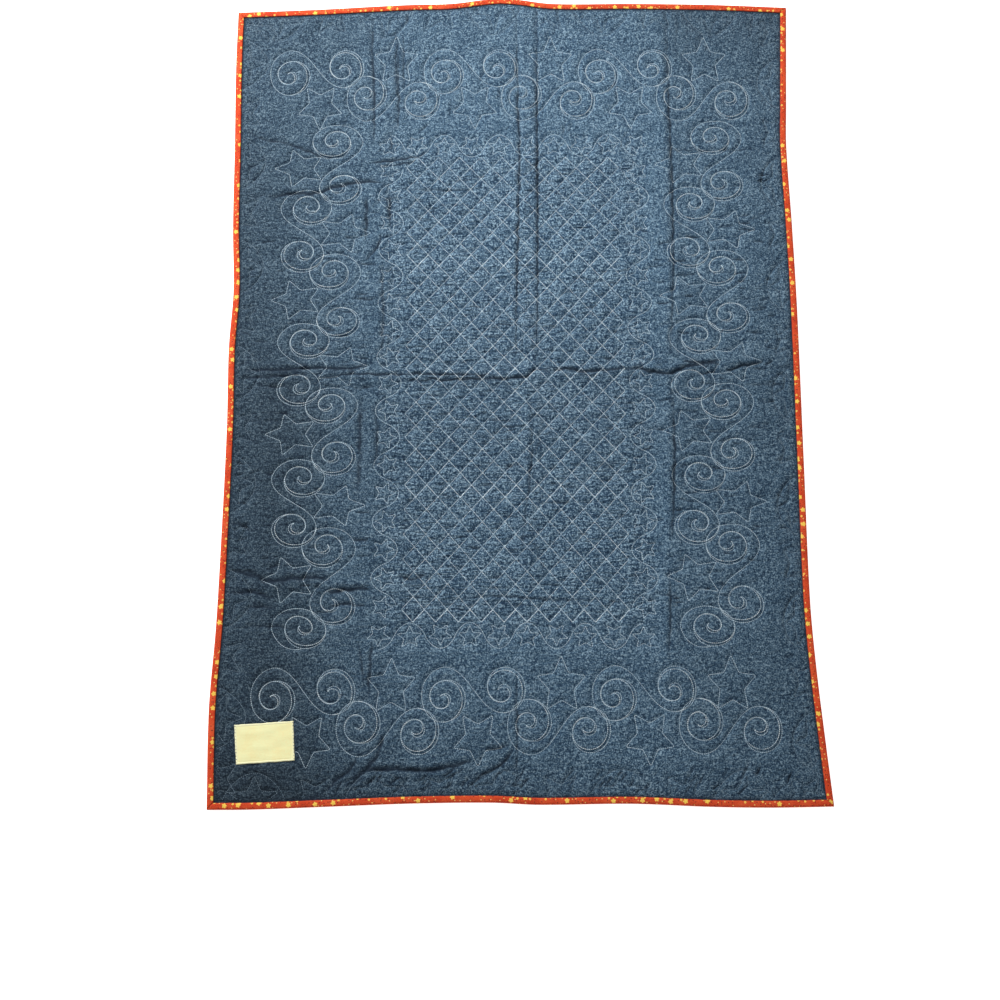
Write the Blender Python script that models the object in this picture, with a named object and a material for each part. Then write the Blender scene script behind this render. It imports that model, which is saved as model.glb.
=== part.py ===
"""A machine-quilted lap quilt that lies flat with its plain backing upward.

The quilted body is one sheet whose upper face is raised between its stitched lines.
Four folded binding strips wrap its edge and meet in mitred corners, and a cloth label
lies on the backing near one corner.

Metres, +Z up, +Y towards the quilt's top edge. The underside lies at z = 0, and the
origin is below the middle of the quilt's box. Shapes are laid out on the flat cut
rectangle first, and place() then bows its edges as the real ones lie.
"""

import math

import bmesh
import bpy
from mathutils import Matrix, Vector
from mathutils.geometry import delaunay_2d_cdt, intersect_line_line_2d
from mathutils.kdtree import KDTree

# Cut size of the quilt and the thickness of its layers
WIDTH = 1.050
HEIGHT = 1.500
STITCHED_THICKNESS = 0.0034
PUFF = 0.0022
PUFF_REACH = 0.0065
GAP = 0.0003

# Binding: a folded strip round the rim of the body
BINDING_WIDTH = 0.0116
BINDING_THICKNESS = 0.0060
BINDING_WALL = 0.0010
RIM_INSET = BINDING_WALL + GAP
RIM_BOTTOM = BINDING_WALL + GAP
RIM_TOP = BINDING_THICKNESS - BINDING_WALL - GAP
RIM_END = BINDING_WIDTH + 0.0007
FLAT_START = 0.0150
LONG_STATIONS = 32
SHORT_STATIONS = 28

# Distances from an edge at which its bowing is full, and at which it has faded out
BOW_FULL = 0.018
BOW_NONE = 0.090

# Label
LABEL_WIDTH = 0.100
LABEL_HEIGHT = 0.068
LABEL_THICKNESS = 0.0010
LABEL_CENTRE = (-0.4330, -0.6380)
LABEL_TURN = math.radians(3.5)
LABEL_SEAT = 0.0042
LABEL_SEAT_MARGIN = 0.005
LABEL_SEAT_STEP = 0.030
LABEL_SQUARES = (10, 6)
LABEL_RIPPLE = 0.0006

# Edges of the quilt as they lie. Columns: distance along, distance outward from the cut line
TOP_EDGE = (
    (-0.525, 0.0000),
    (-0.423, 0.0030),
    (-0.346, 0.0060),
    (-0.270, 0.0100),
    (-0.193, 0.0135),
    (-0.116, 0.0150),
    (-0.039, 0.0245),
    (-0.001, 0.0240),
    (0.076, 0.0130),
    (0.229, 0.0115),
    (0.383, 0.0075),
    (0.525, 0.0000),
)
BOTTOM_EDGE = (
    (-0.525, -0.0010),
    (-0.450, -0.0010),
    (-0.316, -0.0050),
    (-0.182, -0.0090),
    (-0.048, -0.0095),
    (0.030, -0.0055),
    (0.187, -0.0060),
    (0.321, 0.0000),
    (0.421, 0.0020),
    (0.525, 0.0010),
)
LEFT_EDGE = (
    (-0.750, 0.0010),
    (-0.580, 0.0040),
    (-0.440, -0.0025),
    (-0.300, -0.0055),
    (-0.080, -0.0080),
    (0.070, -0.0060),
    (0.180, -0.0105),
    (0.306, -0.0050),
    (0.468, -0.0025),
    (0.634, 0.0010),
    (0.750, 0.0005),
)
RIGHT_EDGE = (
    (-0.750, 0.0000),
    (-0.650, -0.0075),
    (-0.515, -0.0165),
    (-0.400, -0.0205),
    (-0.160, -0.0175),
    (0.140, -0.0135),
    (0.300, -0.0140),
    (0.460, -0.0160),
    (0.540, -0.0120),
    (0.625, -0.0075),
    (0.750, -0.0010),
)

# Diamond quilting in the middle
DIAMOND_WIDTH = 0.0394
DIAMOND_HEIGHT = 0.0435
DIAMONDS_ACROSS = 10
DIAMONDS_UP = 20
DIAMOND_CENTRE = (0.0, 0.0028)
DIAMOND_TILT = -0.008
# How the rows of diamonds have moved. Columns: distance up, shift along, lift
DIAMOND_DRIFT = (
    (-0.432, -0.0055, -0.0025),
    (-0.300, -0.0035, 0.0000),
    (-0.210, -0.0019, 0.0025),
    (-0.040, -0.0023, 0.0036),
    (0.045, -0.0016, 0.0016),
    (0.220, -0.0015, 0.0043),
    (0.440, -0.0028, 0.0040),
)

# Chain of small stars round the diamonds, and of large ones along the edge
CHAIN_STAR = (0.0215, 0.0205)
CHAIN_WAVE = 0.0225
WAVE_ROUNDNESS = 0.75
STAR_NOTCH = 0.43
EDGE_CHAIN_WAVE = 0.045
EDGE_CHAIN_INSET = 0.016
EDGE_CHAIN_CLEAR = 0.024
WAVE_STEPS = 8
# Columns: start, direction of travel, number of stars, pitch, whether the first is upright
STAR_CHAINS = (
    ((-0.232, 0.466), (1, 0), 10, 0.0511, True),
    ((-0.238, -0.460), (1, 0), 10, 0.0502, False),
    ((-0.229, 0.411), (0, -1), 17, 0.0511, True),
    ((0.229, 0.411), (0, -1), 17, 0.0511, False),
)
CHAIN_STAR_SET_BACK = 0.0023
# How each chain has moved, in the order above. Columns: distance along it, shift right, shift up
CHAIN_DRIFT = (
    ((0.000, 0.0000, 0.0000), (0.230, 0.0000, -0.0005), (0.460, 0.0000, -0.0010)),
    ((0.000, -0.0040, 0.0015), (0.100, 0.0030, 0.0030), (0.250, 0.0020, 0.0015), (0.460, 0.0010, -0.0020)),
    (
        (0.000, -0.0015, 0.0040),
        (0.100, 0.0014, 0.0020),
        (0.310, 0.0014, -0.0036),
        (0.510, -0.0013, -0.0018),
        (0.820, -0.0050, -0.0005),
    ),
    (
        (0.000, -0.0025, 0.0000),
        (0.200, -0.0040, -0.0035),
        (0.410, -0.0032, -0.0014),
        (0.610, -0.0062, -0.0033),
        (0.820, -0.0094, -0.0043),
    ),
)
# Columns: side, distance along it to the first arch that points inward, arch to arch
EDGE_CHAINS = (
    ("bottom", 0.078, 0.206),
    ("right", 0.105, 0.206),
    ("top", 0.148, 0.206),
    ("left", 0.110, 0.206),
)

# One repeat of the border: two pairs of swirls and two stars
# Columns: along, up, kind of swirl
SWIRLS = (
    (0.000, 0.000, "long"),
    (0.1035, 0.0095, "short"),
    (0.1465, -0.0500, "long"),
    (0.2475, -0.0580, "short"),
)
# Columns: quarter turns from the outer end, distance from the heart
SWIRL_REACH = {
    "long": (
        (0, 0.0500),
        (1, 0.0370),
        (2, 0.0440),
        (3, 0.0375),
        (4, 0.0270),
        (5, 0.0225),
        (6, 0.0205),
        (7, 0.0110),
        (8, 0.0050),
    ),
    "short": (
        (0, 0.0390),
        (1, 0.0370),
        (2, 0.0390),
        (3, 0.0270),
        (4, 0.0195),
        (5, 0.0125),
        (6, 0.0100),
    ),
}
FULL_TURN = 4
# Columns: along, half size along, half size up (negative points down)
BORDER_STARS = (
    (0.2025, 0.044, 0.051),
    (0.0590, 0.044, -0.049),
)
BORDER_STAR_NOTCH = 0.50
SWIRL_BEND = 0.045
STEPS_A_QUARTER = 6
BEND_STEPS = 12
# Columns: start, direction of travel, number of repeats, pitch, swirls in the last repeat,
# how far up the two stars of a repeat lie
BORDERS = (
    ((-0.422, 0.616), (1, 0), 3, 0.2920, 4, (0.0235, -0.0685)),
    ((-0.423, -0.560), (1, 0), 3, 0.2920, 4, (0.018, -0.073)),
    ((-0.332, 0.476), (0, -1), 4, 0.2615, 3, (0.017, -0.066)),
    ((0.376, 0.476), (0, -1), 4, 0.2615, 3, (0.017, -0.066)),
)
SIDE_SQUEEZE = 0.92
# How each border has moved, in the order above. Columns: distance along it, shift right, shift up
BORDER_DRIFT = (
    (
        (0.000, 0.0000, 0.0010),
        (0.200, -0.0015, 0.0020),
        (0.490, -0.0015, 0.0000),
        (0.640, -0.0018, -0.0015),
        (0.790, -0.0025, -0.0035),
    ),
    ((0.000, 0.0000, -0.0010), (0.450, 0.0000, -0.0010), (0.790, -0.0020, -0.0020)),
    (
        (0.000, 0.0000, 0.0000),
        (0.180, 0.0000, 0.0020),
        (0.310, 0.0000, 0.0005),
        (0.440, 0.0010, 0.0035),
        (0.580, -0.0030, 0.0075),
        (0.660, -0.0020, 0.0062),
        (0.750, -0.0020, 0.0092),
        (0.800, -0.0010, 0.0075),
        (0.840, -0.0010, 0.0050),
        (0.890, 0.0000, 0.0005),
        (0.940, 0.0000, 0.0000),
    ),
    (
        (0.000, -0.0010, 0.0020),
        (0.180, 0.0000, 0.0030),
        (0.310, 0.0000, 0.0030),
        (0.440, 0.0000, 0.0067),
        (0.570, -0.0030, 0.0085),
        (0.660, -0.0030, 0.0080),
        (0.740, -0.0040, 0.0100),
        (0.790, -0.0040, 0.0080),
        (0.835, -0.0040, 0.0060),
        (0.880, -0.0020, 0.0000),
        (0.930, -0.0020, -0.0010),
    ),
)

# Folds left from storage, as they lie. Columns: height, half width, points
FOLDS = (
    (0.0034, 0.011, ((-0.520, 0.022), (-0.200, 0.012), (0.100, 0.014), (0.260, 0.028), (0.505, 0.046))),
    (0.0020, 0.012, ((-0.505, 0.395), (-0.330, 0.360), (-0.150, 0.368))),
    (0.0020, 0.012, ((0.230, 0.380), (0.350, 0.392), (0.480, 0.400))),
    (0.0016, 0.012, ((-0.480, -0.360), (-0.250, -0.372), (0.000, -0.380))),
    (0.0026, 0.012, ((-0.247, 0.720), (-0.243, 0.300), (-0.252, -0.200), (-0.246, -0.700))),
    (0.0026, 0.009, ((-0.002, 0.735), (0.006, 0.300), (-0.004, -0.100), (0.004, -0.700))),
    (0.0016, 0.009, ((0.047, 0.735), (0.045, 0.350), (0.050, 0.030))),
    (0.0030, 0.013, ((0.268, 0.730), (0.262, 0.250), (0.268, -0.200), (0.262, -0.700))),
)

# Spacing of the points on the upper face
LINE_STEP = 0.0145
BETWEEN_STEP = 0.0190
FOLD_STEP = 0.030
FILL_STEP = 0.035
LEAST_SPACING = 0.0036
FILL_CLEARANCE = 0.011
FILL_LINE_CLEARANCE = 0.007
LINE_CLEARANCE = 0.0018
LABEL_CLEARANCE = 0.008
CELL = 0.020
SAMPLE_STEP = 0.003
UNDERSIDE_STEP = 0.105


def table_value(table, distance):
    """Reads a table as a smooth curve through its rows."""
    last = len(table) - 2
    row = 0
    while row < last and distance > table[row + 1][0]:
        row += 1
    start, end = table[row], table[row + 1]
    before = table[max(row - 1, 0)]
    after = table[min(row + 2, len(table) - 1)]
    span = end[0] - start[0]
    part = min(max((distance - start[0]) / span, 0.0), 1.0)
    slope_start = (end[1] - before[1]) / (end[0] - before[0]) * span
    slope_end = (after[1] - start[1]) / (after[0] - start[0]) * span
    cube, square = part**3, part**2
    return (
        (2 * cube - 3 * square + 1) * start[1]
        + (cube - 2 * square + part) * slope_start
        + (3 * square - 2 * cube) * end[1]
        + (cube - square) * slope_end
    )


def smooth(part):
    part = min(max(part, 0.0), 1.0)
    return part * part * (3 - 2 * part)


def bow_share(from_edge):
    return smooth((BOW_NONE - from_edge) / (BOW_NONE - BOW_FULL))


def bowed(u, v):
    """Moves a point of the cut rectangle to where it lies, before the origin is centred."""
    if u > 0:
        x = u + table_value(RIGHT_EDGE, v) * bow_share(WIDTH / 2 - u)
    else:
        x = u - table_value(LEFT_EDGE, v) * bow_share(WIDTH / 2 + u)
    if v > 0:
        y = v + table_value(TOP_EDGE, u) * bow_share(HEIGHT / 2 - v)
    else:
        y = v - table_value(BOTTOM_EDGE, u) * bow_share(HEIGHT / 2 + v)
    return x, y


def side_point(side, along, inset):
    """A point of the cut rectangle, given along one side and inset from it."""
    if side == "bottom":
        return along - WIDTH / 2, inset - HEIGHT / 2
    if side == "right":
        return WIDTH / 2 - inset, along - HEIGHT / 2
    if side == "top":
        return WIDTH / 2 - along, HEIGHT / 2 - inset
    return inset - WIDTH / 2, HEIGHT / 2 - along


SIDES = {
    "bottom": (WIDTH, SHORT_STATIONS),
    "right": (HEIGHT, LONG_STATIONS),
    "top": (WIDTH, SHORT_STATIONS),
    "left": (HEIGHT, LONG_STATIONS),
}


def side_line(side, inset, cut_back=0.0):
    """The points of one side at an inset, from its first mitre to its last."""
    length, stations = SIDES[side]
    start, end = inset + cut_back, length - inset - cut_back
    return [side_point(side, start + (end - start) * i / stations, inset) for i in range(stations + 1)]


def loop(inset):
    """A closed loop of points at an inset from the whole edge."""
    return [point for side in SIDES for point in side_line(side, inset)[:-1]]


def centre_of_box():
    outline = [bowed(*point) for point in loop(0.0)]
    xs = [point[0] for point in outline]
    ys = [point[1] for point in outline]
    return (min(xs) + max(xs)) / 2, (min(ys) + max(ys)) / 2


CENTRE = centre_of_box()


def place(u, v, z):
    x, y = bowed(u, v)
    return x - CENTRE[0], y - CENTRE[1], z


def distance(a, b):
    return math.hypot(a[0] - b[0], a[1] - b[1])


def resample(points, step):
    """Points at an even step along a line, with both its ends."""
    lengths = [distance(a, b) for a, b in zip(points, points[1:])]
    count = max(round(sum(lengths) / step), 1)
    wanted = [sum(lengths) * i / count for i in range(count + 1)]
    result, done, leg = [], 0.0, 0
    for target in wanted:
        while leg < len(lengths) - 1 and done + lengths[leg] < target:
            done += lengths[leg]
            leg += 1
        part = (target - done) / lengths[leg] if lengths[leg] else 0.0
        a, b = points[leg], points[leg + 1]
        result.append((a[0] + (b[0] - a[0]) * part, a[1] + (b[1] - a[1]) * part))
    return result


def frame_of(start, direction):
    """A function from (along, up) in a repeat to the cut rectangle, for a run in some direction."""
    across = (-direction[1], direction[0])

    def to_rectangle(along, up):
        return (
            start[0] + along * direction[0] + up * across[0],
            start[1] + along * direction[1] + up * across[1],
        )

    return to_rectangle


def star_corners(half_along, half_up, notch=STAR_NOTCH):
    """The ten corners of a five-pointed star about (0, 0)."""
    corners = []
    for i in range(10):
        angle = math.pi / 2 + i * math.pi / 5
        reach = notch if i % 2 else 1.0
        corners.append((half_along * reach * math.cos(angle), half_up * reach * math.sin(angle)))
    return corners


def swirl_line(heart, kind, flip, start_angle):
    """From a swirl's outer end to its heart."""
    reach_table = SWIRL_REACH[kind]
    points = []
    for i in range(reach_table[-1][0] * STEPS_A_QUARTER + 1):
        quarters = i / STEPS_A_QUARTER
        reach = table_value(reach_table, quarters)
        angle = start_angle + quarters * math.pi / 2
        points.append((heart[0] + reach * math.cos(angle), heart[1] + flip * reach * math.sin(angle)))
    return points


def between_turns(heart, kind, flip, start_angle):
    """A line that runs midway between the turns of a swirl."""
    reach_table = SWIRL_REACH[kind]
    points = []
    for i in range((reach_table[-1][0] - FULL_TURN) * STEPS_A_QUARTER + 1):
        quarters = i / STEPS_A_QUARTER
        outer, inner = table_value(reach_table, quarters), table_value(reach_table, quarters + FULL_TURN)
        reach = (outer + inner) / 2
        angle = start_angle + quarters * math.pi / 2
        points.append((heart[0] + reach * math.cos(angle), heart[1] + flip * reach * math.sin(angle)))
    return points


def bend(start, end):
    """The S-shaped line between two swirls, level at both ends."""
    points = []
    for i in range(1, BEND_STEPS):
        t = i / BEND_STEPS
        level_start = start[0] + SWIRL_BEND
        level_end = end[0] - SWIRL_BEND
        along = (
            (1 - t) ** 3 * start[0]
            + 3 * (1 - t) ** 2 * t * level_start
            + 3 * (1 - t) * t**2 * level_end
            + t**3 * end[0]
        )
        up = start[1] + (end[1] - start[1]) * (3 * t**2 - 2 * t**3)
        points.append((along, up))
    return points


def drifted(point, distance_along, drift):
    """Moves a point by what its row of the pattern has moved."""
    right = table_value([row[:2] for row in drift], distance_along)
    up = table_value([(row[0], row[2]) for row in drift], distance_along)
    return point[0] + right, point[1] + up


def border_lines():
    """Yields (kind, line) for the swirls and stars of all four borders."""
    for (start, direction, repeats, pitch, last_count, star_heights), drift in zip(BORDERS, BORDER_DRIFT):
        squeeze = SIDE_SQUEEZE if direction[1] else 1.0
        to_rectangle = frame_of(start, direction)
        for repeat in range(repeats):
            shift = repeat * pitch
            count = last_count if repeat == repeats - 1 else len(SWIRLS)
            hearts = [(along, up) for along, up, _ in SWIRLS]

            def laid(points, to_rectangle=to_rectangle, shift=shift, squeeze=squeeze, drift=drift):
                rows = [(shift + along * squeeze, up) for along, up in points]
                return [drifted(to_rectangle(along, up), along, drift) for along, up in rows]

            for index in range(0, count, 2):
                flip = 1 if index == 0 else -1
                turn = (hearts[index], SWIRLS[index][2], flip, math.pi / 2)
                line = swirl_line(*turn)[::-1]
                rings = [between_turns(*turn)]
                if index + 1 < count:
                    turn = (hearts[index + 1], SWIRLS[index + 1][2], flip, -math.pi / 2)
                    inward = swirl_line(*turn)
                    line = line + bend(line[-1], inward[0]) + inward
                    rings.append(between_turns(*turn))
                yield "groove", laid(line)
                for ring in rings:
                    yield "between", laid(ring)
            for up, (along, half_along, half_up) in zip(star_heights, BORDER_STARS):
                if count < len(SWIRLS) and half_up > 0:
                    continue
                corners = star_corners(half_along, half_up, BORDER_STAR_NOTCH)
                yield "star", laid([(along + a, up + b) for a, b in corners])


def chain_lines():
    """Yields (kind, line) for the star chain round the diamonds and the wave between its stars."""
    for (start, direction, count, pitch, upright), drift in zip(STAR_CHAINS, CHAIN_DRIFT):
        to_rectangle = frame_of(start, direction)
        for i in range(count):
            facing = 1 if (i % 2 == 0) == upright else -1
            corners = star_corners(CHAIN_STAR[0], CHAIN_STAR[1] * facing)
            set_back = -facing * CHAIN_STAR_SET_BACK
            yield "star", [
                drifted(to_rectangle(i * pitch + a, set_back + b), i * pitch + a, drift) for a, b in corners
            ]
        first = 1 if upright else -1
        wave = []
        for i in range((count - 1) * WAVE_STEPS + 1):
            part = i / WAVE_STEPS
            swing = math.cos(math.pi * part)
            swing = math.copysign(abs(swing) ** WAVE_ROUNDNESS, swing)
            crest = to_rectangle(part * pitch, first * CHAIN_WAVE * swing)
            wave.append(drifted(crest, part * pitch, drift))
        yield "groove", wave


def edge_chain_lines():
    """The large arches along the edge, which come out from under the binding and go back under it."""
    for side, first, pitch in EDGE_CHAINS:
        length = SIDES[side][0]
        for number in range(-1, math.ceil(length / pitch) + 1):
            arch = []
            for i in range(2 * WAVE_STEPS + 1):
                part = i / WAVE_STEPS - 1
                inset = EDGE_CHAIN_INSET + EDGE_CHAIN_WAVE * math.cos(math.pi / 2 * part) ** WAVE_ROUNDNESS
                along = first + number * pitch + part * pitch / 4
                clear = min(along, length - along) > EDGE_CHAIN_CLEAR
                if inset > EDGE_CHAIN_CLEAR and clear:
                    arch.append(side_point(side, along, inset))
            if len(arch) > 1:
                yield "groove", arch


def diamond_point(i, j):
    """Point i half widths across and j half heights up from the diamonds' lower left corner."""
    along = (i - DIAMONDS_ACROSS) * DIAMOND_WIDTH / 2
    up = DIAMOND_CENTRE[1] + (j - DIAMONDS_UP) * DIAMOND_HEIGHT / 2
    shift = table_value([row[:2] for row in DIAMOND_DRIFT], up)
    lift = table_value([(row[0], row[2]) for row in DIAMOND_DRIFT], up)
    return DIAMOND_CENTRE[0] + along + shift, up + lift + along * DIAMOND_TILT


def diamond_edges():
    """Each edge of each diamond, from one crossing of the stitched lines to the next."""
    across, up = 2 * DIAMONDS_ACROSS, 2 * DIAMONDS_UP
    for i in range(across):
        for j in range(up):
            if (i + j) % 2:
                yield diamond_point(i, j), diamond_point(i + 1, j + 1)
            else:
                yield diamond_point(i + 1, j), diamond_point(i, j + 1)


def label_corner(part_along, part_up, margin=0.0):
    """A point of the label, from -1 to 1 each way, with a margin round it."""
    along = part_along * (LABEL_WIDTH / 2 + margin)
    up = part_up * (LABEL_HEIGHT / 2 + margin)
    turned = Matrix.Rotation(LABEL_TURN, 2) @ Vector((along, up))
    return LABEL_CENTRE[0] + turned.x, LABEL_CENTRE[1] + turned.y


def label_loop():
    corners = [label_corner(a, b, LABEL_SEAT_MARGIN) for a, b in ((-1, -1), (1, -1), (1, 1), (-1, 1))]
    points = []
    for a, b in zip(corners, corners[1:] + corners[:1]):
        points += resample([a, b], LABEL_SEAT_STEP)[:-1]
    return points


def under_label(point, margin):
    turned = Matrix.Rotation(-LABEL_TURN, 2) @ Vector(
        (point[0] - LABEL_CENTRE[0], point[1] - LABEL_CENTRE[1])
    )
    return abs(turned.x) < LABEL_WIDTH / 2 + margin and abs(turned.y) < LABEL_HEIGHT / 2 + margin


def edge_distance(point):
    return min(WIDTH / 2 - abs(point[0]), HEIGHT / 2 - abs(point[1]))


def fold_height(point):
    """How far the folds lift the cloth at a point."""
    lift = 0.0
    here = Vector(point)
    for height, half_width, bends in FOLDS:
        nearest = 1.0
        for a, b in zip(bends, bends[1:]):
            start, end = Vector(a), Vector(b)
            leg = end - start
            part = min(max((here - start).dot(leg) / leg.length_squared, 0.0), 1.0)
            nearest = min(nearest, (here - start - leg * part).length)
        lift = max(lift, height * math.exp(-((nearest / half_width) ** 2)))
    return lift


class UpperFace:
    """Points and stitched lines of the upper face, none closer together than the spacing allows."""

    def __init__(self):
        self.points = []
        self.lines = []
        self.point_cells = {}
        self.line_cells = {}

    def cells_of(self, *points, reach=0.0):
        low_x = math.floor((min(p[0] for p in points) - reach) / CELL)
        high_x = math.floor((max(p[0] for p in points) + reach) / CELL)
        low_y = math.floor((min(p[1] for p in points) - reach) / CELL)
        high_y = math.floor((max(p[1] for p in points) + reach) / CELL)
        return [(i, j) for i in range(low_x, high_x + 1) for j in range(low_y, high_y + 1)]

    def nearest(self, point, reach):
        """The index of the nearest point within reach, or None."""
        best, found = reach, None
        for cell in self.cells_of(point, reach=reach):
            for index in self.point_cells.get(cell, ()):
                gap = distance(point, self.points[index])
                if gap < best:
                    best, found = gap, index
        return found

    def near_line(self, point, reach):
        for cell in self.cells_of(point, reach=reach):
            for a, b in self.line_cells.get(cell, ()):
                start, end = Vector(self.points[a]), Vector(self.points[b])
                leg = end - start
                part = (Vector(point) - start).dot(leg) / leg.length_squared
                if 0 < part < 1 and (Vector(point) - start - leg * part).length < reach:
                    return True
        return False

    def add(self, point, spacing=LEAST_SPACING, clearance=LINE_CLEARANCE, free=False):
        """Adds a point, and returns its index or that of a point already there."""
        found = self.nearest(point, spacing)
        if found is not None:
            return found
        near_rim = edge_distance(point) < RIM_END + LEAST_SPACING
        if not free and (near_rim or under_label(point, LABEL_CLEARANCE)):
            return None
        if self.near_line(point, clearance):
            return None
        self.points.append(point)
        index = len(self.points) - 1
        for cell in self.cells_of(point):
            self.point_cells.setdefault(cell, []).append(index)
        return index

    def clear(self, a, b):
        """Whether a line between two points meets no other line or point."""
        start, end = Vector(self.points[a]), Vector(self.points[b])
        leg = end - start
        for cell in self.cells_of(start, end, reach=LINE_CLEARANCE):
            for c, d in self.line_cells.get(cell, ()):
                if {a, b} == {c, d}:
                    return False
                if {a, b} & {c, d}:
                    continue
                if intersect_line_line_2d(start, end, Vector(self.points[c]), Vector(self.points[d])):
                    return False
            for index in self.point_cells.get(cell, ()):
                if index in (a, b):
                    continue
                part = (Vector(self.points[index]) - start).dot(leg) / leg.length_squared
                if 0 < part < 1 and (Vector(self.points[index]) - start - leg * part).length < LINE_CLEARANCE:
                    return False
        return True

    def join(self, a, b):
        if a is None or b is None or a == b or not self.clear(a, b):
            return
        self.lines.append((a, b))
        for cell in self.cells_of(self.points[a], self.points[b]):
            self.line_cells.setdefault(cell, []).append((a, b))

    def stitch(self, points, closed=False, free=False):
        indices = [self.add(point, free=free) for point in points]
        if closed:
            indices.append(indices[0])
        for a, b in zip(indices, indices[1:]):
            self.join(a, b)
        return indices


def lay_out_upper_face():
    """The points of the upper face inside the binding, and the lines that are sewn down."""
    face = UpperFace()
    sewn = []
    rim = face.stitch(loop(RIM_END), closed=True, free=True)[:-1]
    face.stitch(label_loop(), closed=True, free=True)
    for a, b in diamond_edges():
        face.stitch([a, b])
        sewn.append([a, b])
    between = []
    for kind, line in [*chain_lines(), *border_lines(), *edge_chain_lines()]:
        if kind == "between":
            between.append(line)
            continue
        if kind == "star":
            face.stitch(line, closed=True)
            sewn.append(line + line[:1])
            centre = sum((Vector(point) for point in line), Vector((0, 0))) / len(line)
            between.append([tuple(centre), tuple(centre)])
        else:
            face.stitch(resample(line, LINE_STEP))
            sewn.append(line)
    for i in range(2 * DIAMONDS_ACROSS + 1):
        for j in range(2 * DIAMONDS_UP + 1):
            if (i + j) % 2 == 0:
                face.add(diamond_point(i, j))
    for line in between:
        for point in resample(line, BETWEEN_STEP):
            face.add(point)
    for _, _, bends in FOLDS:
        for point in resample(bends, FOLD_STEP):
            face.add(point, FILL_CLEARANCE, FILL_LINE_CLEARANCE)
    rows = round(HEIGHT / (FILL_STEP * math.sqrt(3) / 2))
    columns = round(WIDTH / FILL_STEP)
    for row in range(1, rows):
        for column in range(1, columns):
            u = -WIDTH / 2 + (column + row % 2 / 2) * WIDTH / columns
            v = -HEIGHT / 2 + row * HEIGHT / rows
            face.add((u, v), FILL_CLEARANCE, FILL_LINE_CLEARANCE)
    return face, rim, sewn


def sewn_tree(sewn):
    samples = [point for line in sewn for point in resample(line, SAMPLE_STEP)]
    tree = KDTree(len(samples))
    for index, point in enumerate(samples):
        tree.insert((point[0], point[1], 0.0), index)
    tree.balance()
    return tree


def upper_height(point, tree):
    if edge_distance(point) < RIM_END + 0.0005:
        return RIM_TOP
    if under_label(point, LABEL_SEAT_MARGIN + 0.0005):
        return LABEL_SEAT
    gap = tree.find((point[0], point[1], 0.0))[2]
    puff = PUFF * (1 - math.exp(-((gap / PUFF_REACH) ** 2)))
    return STITCHED_THICKNESS + puff + fold_height(point)


def triangulate(points, lines, boundary):
    """Triangles that fill a closed boundary and use the points and lines inside it."""
    flat = [Vector((point[0], point[1])) for point in points]
    verts, _, faces, origins, _, _ = delaunay_2d_cdt(flat, lines, [boundary], 1, 1e-7, True)
    index_of = {original: new for new, group in enumerate(origins) for original in group}
    return [tuple(vert) for vert in verts], [tuple(face) for face in faces], index_of


def finish_object(mesh_data, name, material, smooth_angle):
    """Makes an object of a bmesh, with its faces turned outward."""
    bmesh.ops.recalc_face_normals(mesh_data, faces=mesh_data.faces)
    if mesh_data.calc_volume(signed=True) < 0:
        bmesh.ops.reverse_faces(mesh_data, faces=mesh_data.faces)
    for edge in mesh_data.edges:
        edge.smooth = edge.smooth and edge.calc_face_angle() < smooth_angle
    mesh = bpy.data.meshes.new(name)
    for face in mesh_data.faces:
        face.smooth = True
    mesh_data.to_mesh(mesh)
    mesh_data.free()
    mesh.materials.append(material)
    obj = bpy.data.objects.new(name, mesh)
    bpy.context.scene.collection.objects.link(obj)
    return obj


def band(mesh_data, lower, upper):
    """Joins two closed loops of as many points with quads."""
    for i in range(len(lower)):
        after = (i + 1) % len(lower)
        mesh_data.faces.new((lower[i], lower[after], upper[after], upper[i]))


def build_body(material):
    """The quilted sheet: a relief above, a flat face below and a thin rim inside the binding."""
    mesh_data = bmesh.new()
    face, rim, sewn = lay_out_upper_face()
    tree = sewn_tree(sewn)
    flat, triangles, index_of = triangulate(face.points, face.lines, rim)
    upper = [mesh_data.verts.new(place(*point, upper_height(point, tree))) for point in flat]
    for triangle in triangles:
        mesh_data.faces.new([upper[i] for i in triangle])
    for a, b in face.lines:
        edge = mesh_data.edges.get((upper[index_of[a]], upper[index_of[b]]))
        edge.smooth = False
    inner_top = [upper[index_of[i]] for i in rim]

    def ring(inset, z):
        return [mesh_data.verts.new(place(*point, z)) for point in loop(inset)]

    outer_top = ring(RIM_INSET, RIM_TOP)
    outer_bottom = ring(RIM_INSET, RIM_BOTTOM)
    inner_bottom = ring(RIM_END, RIM_BOTTOM)
    band(mesh_data, inner_top, outer_top)
    band(mesh_data, outer_top, outer_bottom)
    band(mesh_data, outer_bottom, inner_bottom)

    under_points = loop(FLAT_START)
    boundary = list(range(len(under_points)))
    rows = round(HEIGHT / UNDERSIDE_STEP)
    columns = round(WIDTH / UNDERSIDE_STEP)
    for row in range(1, rows):
        for column in range(1, columns):
            under_points.append((WIDTH * (column / columns - 0.5), HEIGHT * (row / rows - 0.5)))
    flat, triangles, index_of = triangulate(under_points, [], boundary)
    under = [mesh_data.verts.new(place(*point, 0.0)) for point in flat]
    for triangle in triangles:
        mesh_data.faces.new([under[i] for i in triangle])
    band(mesh_data, inner_bottom, [under[index_of[i]] for i in boundary])
    return finish_object(mesh_data, "quilt_body", material, math.radians(50))


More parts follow.
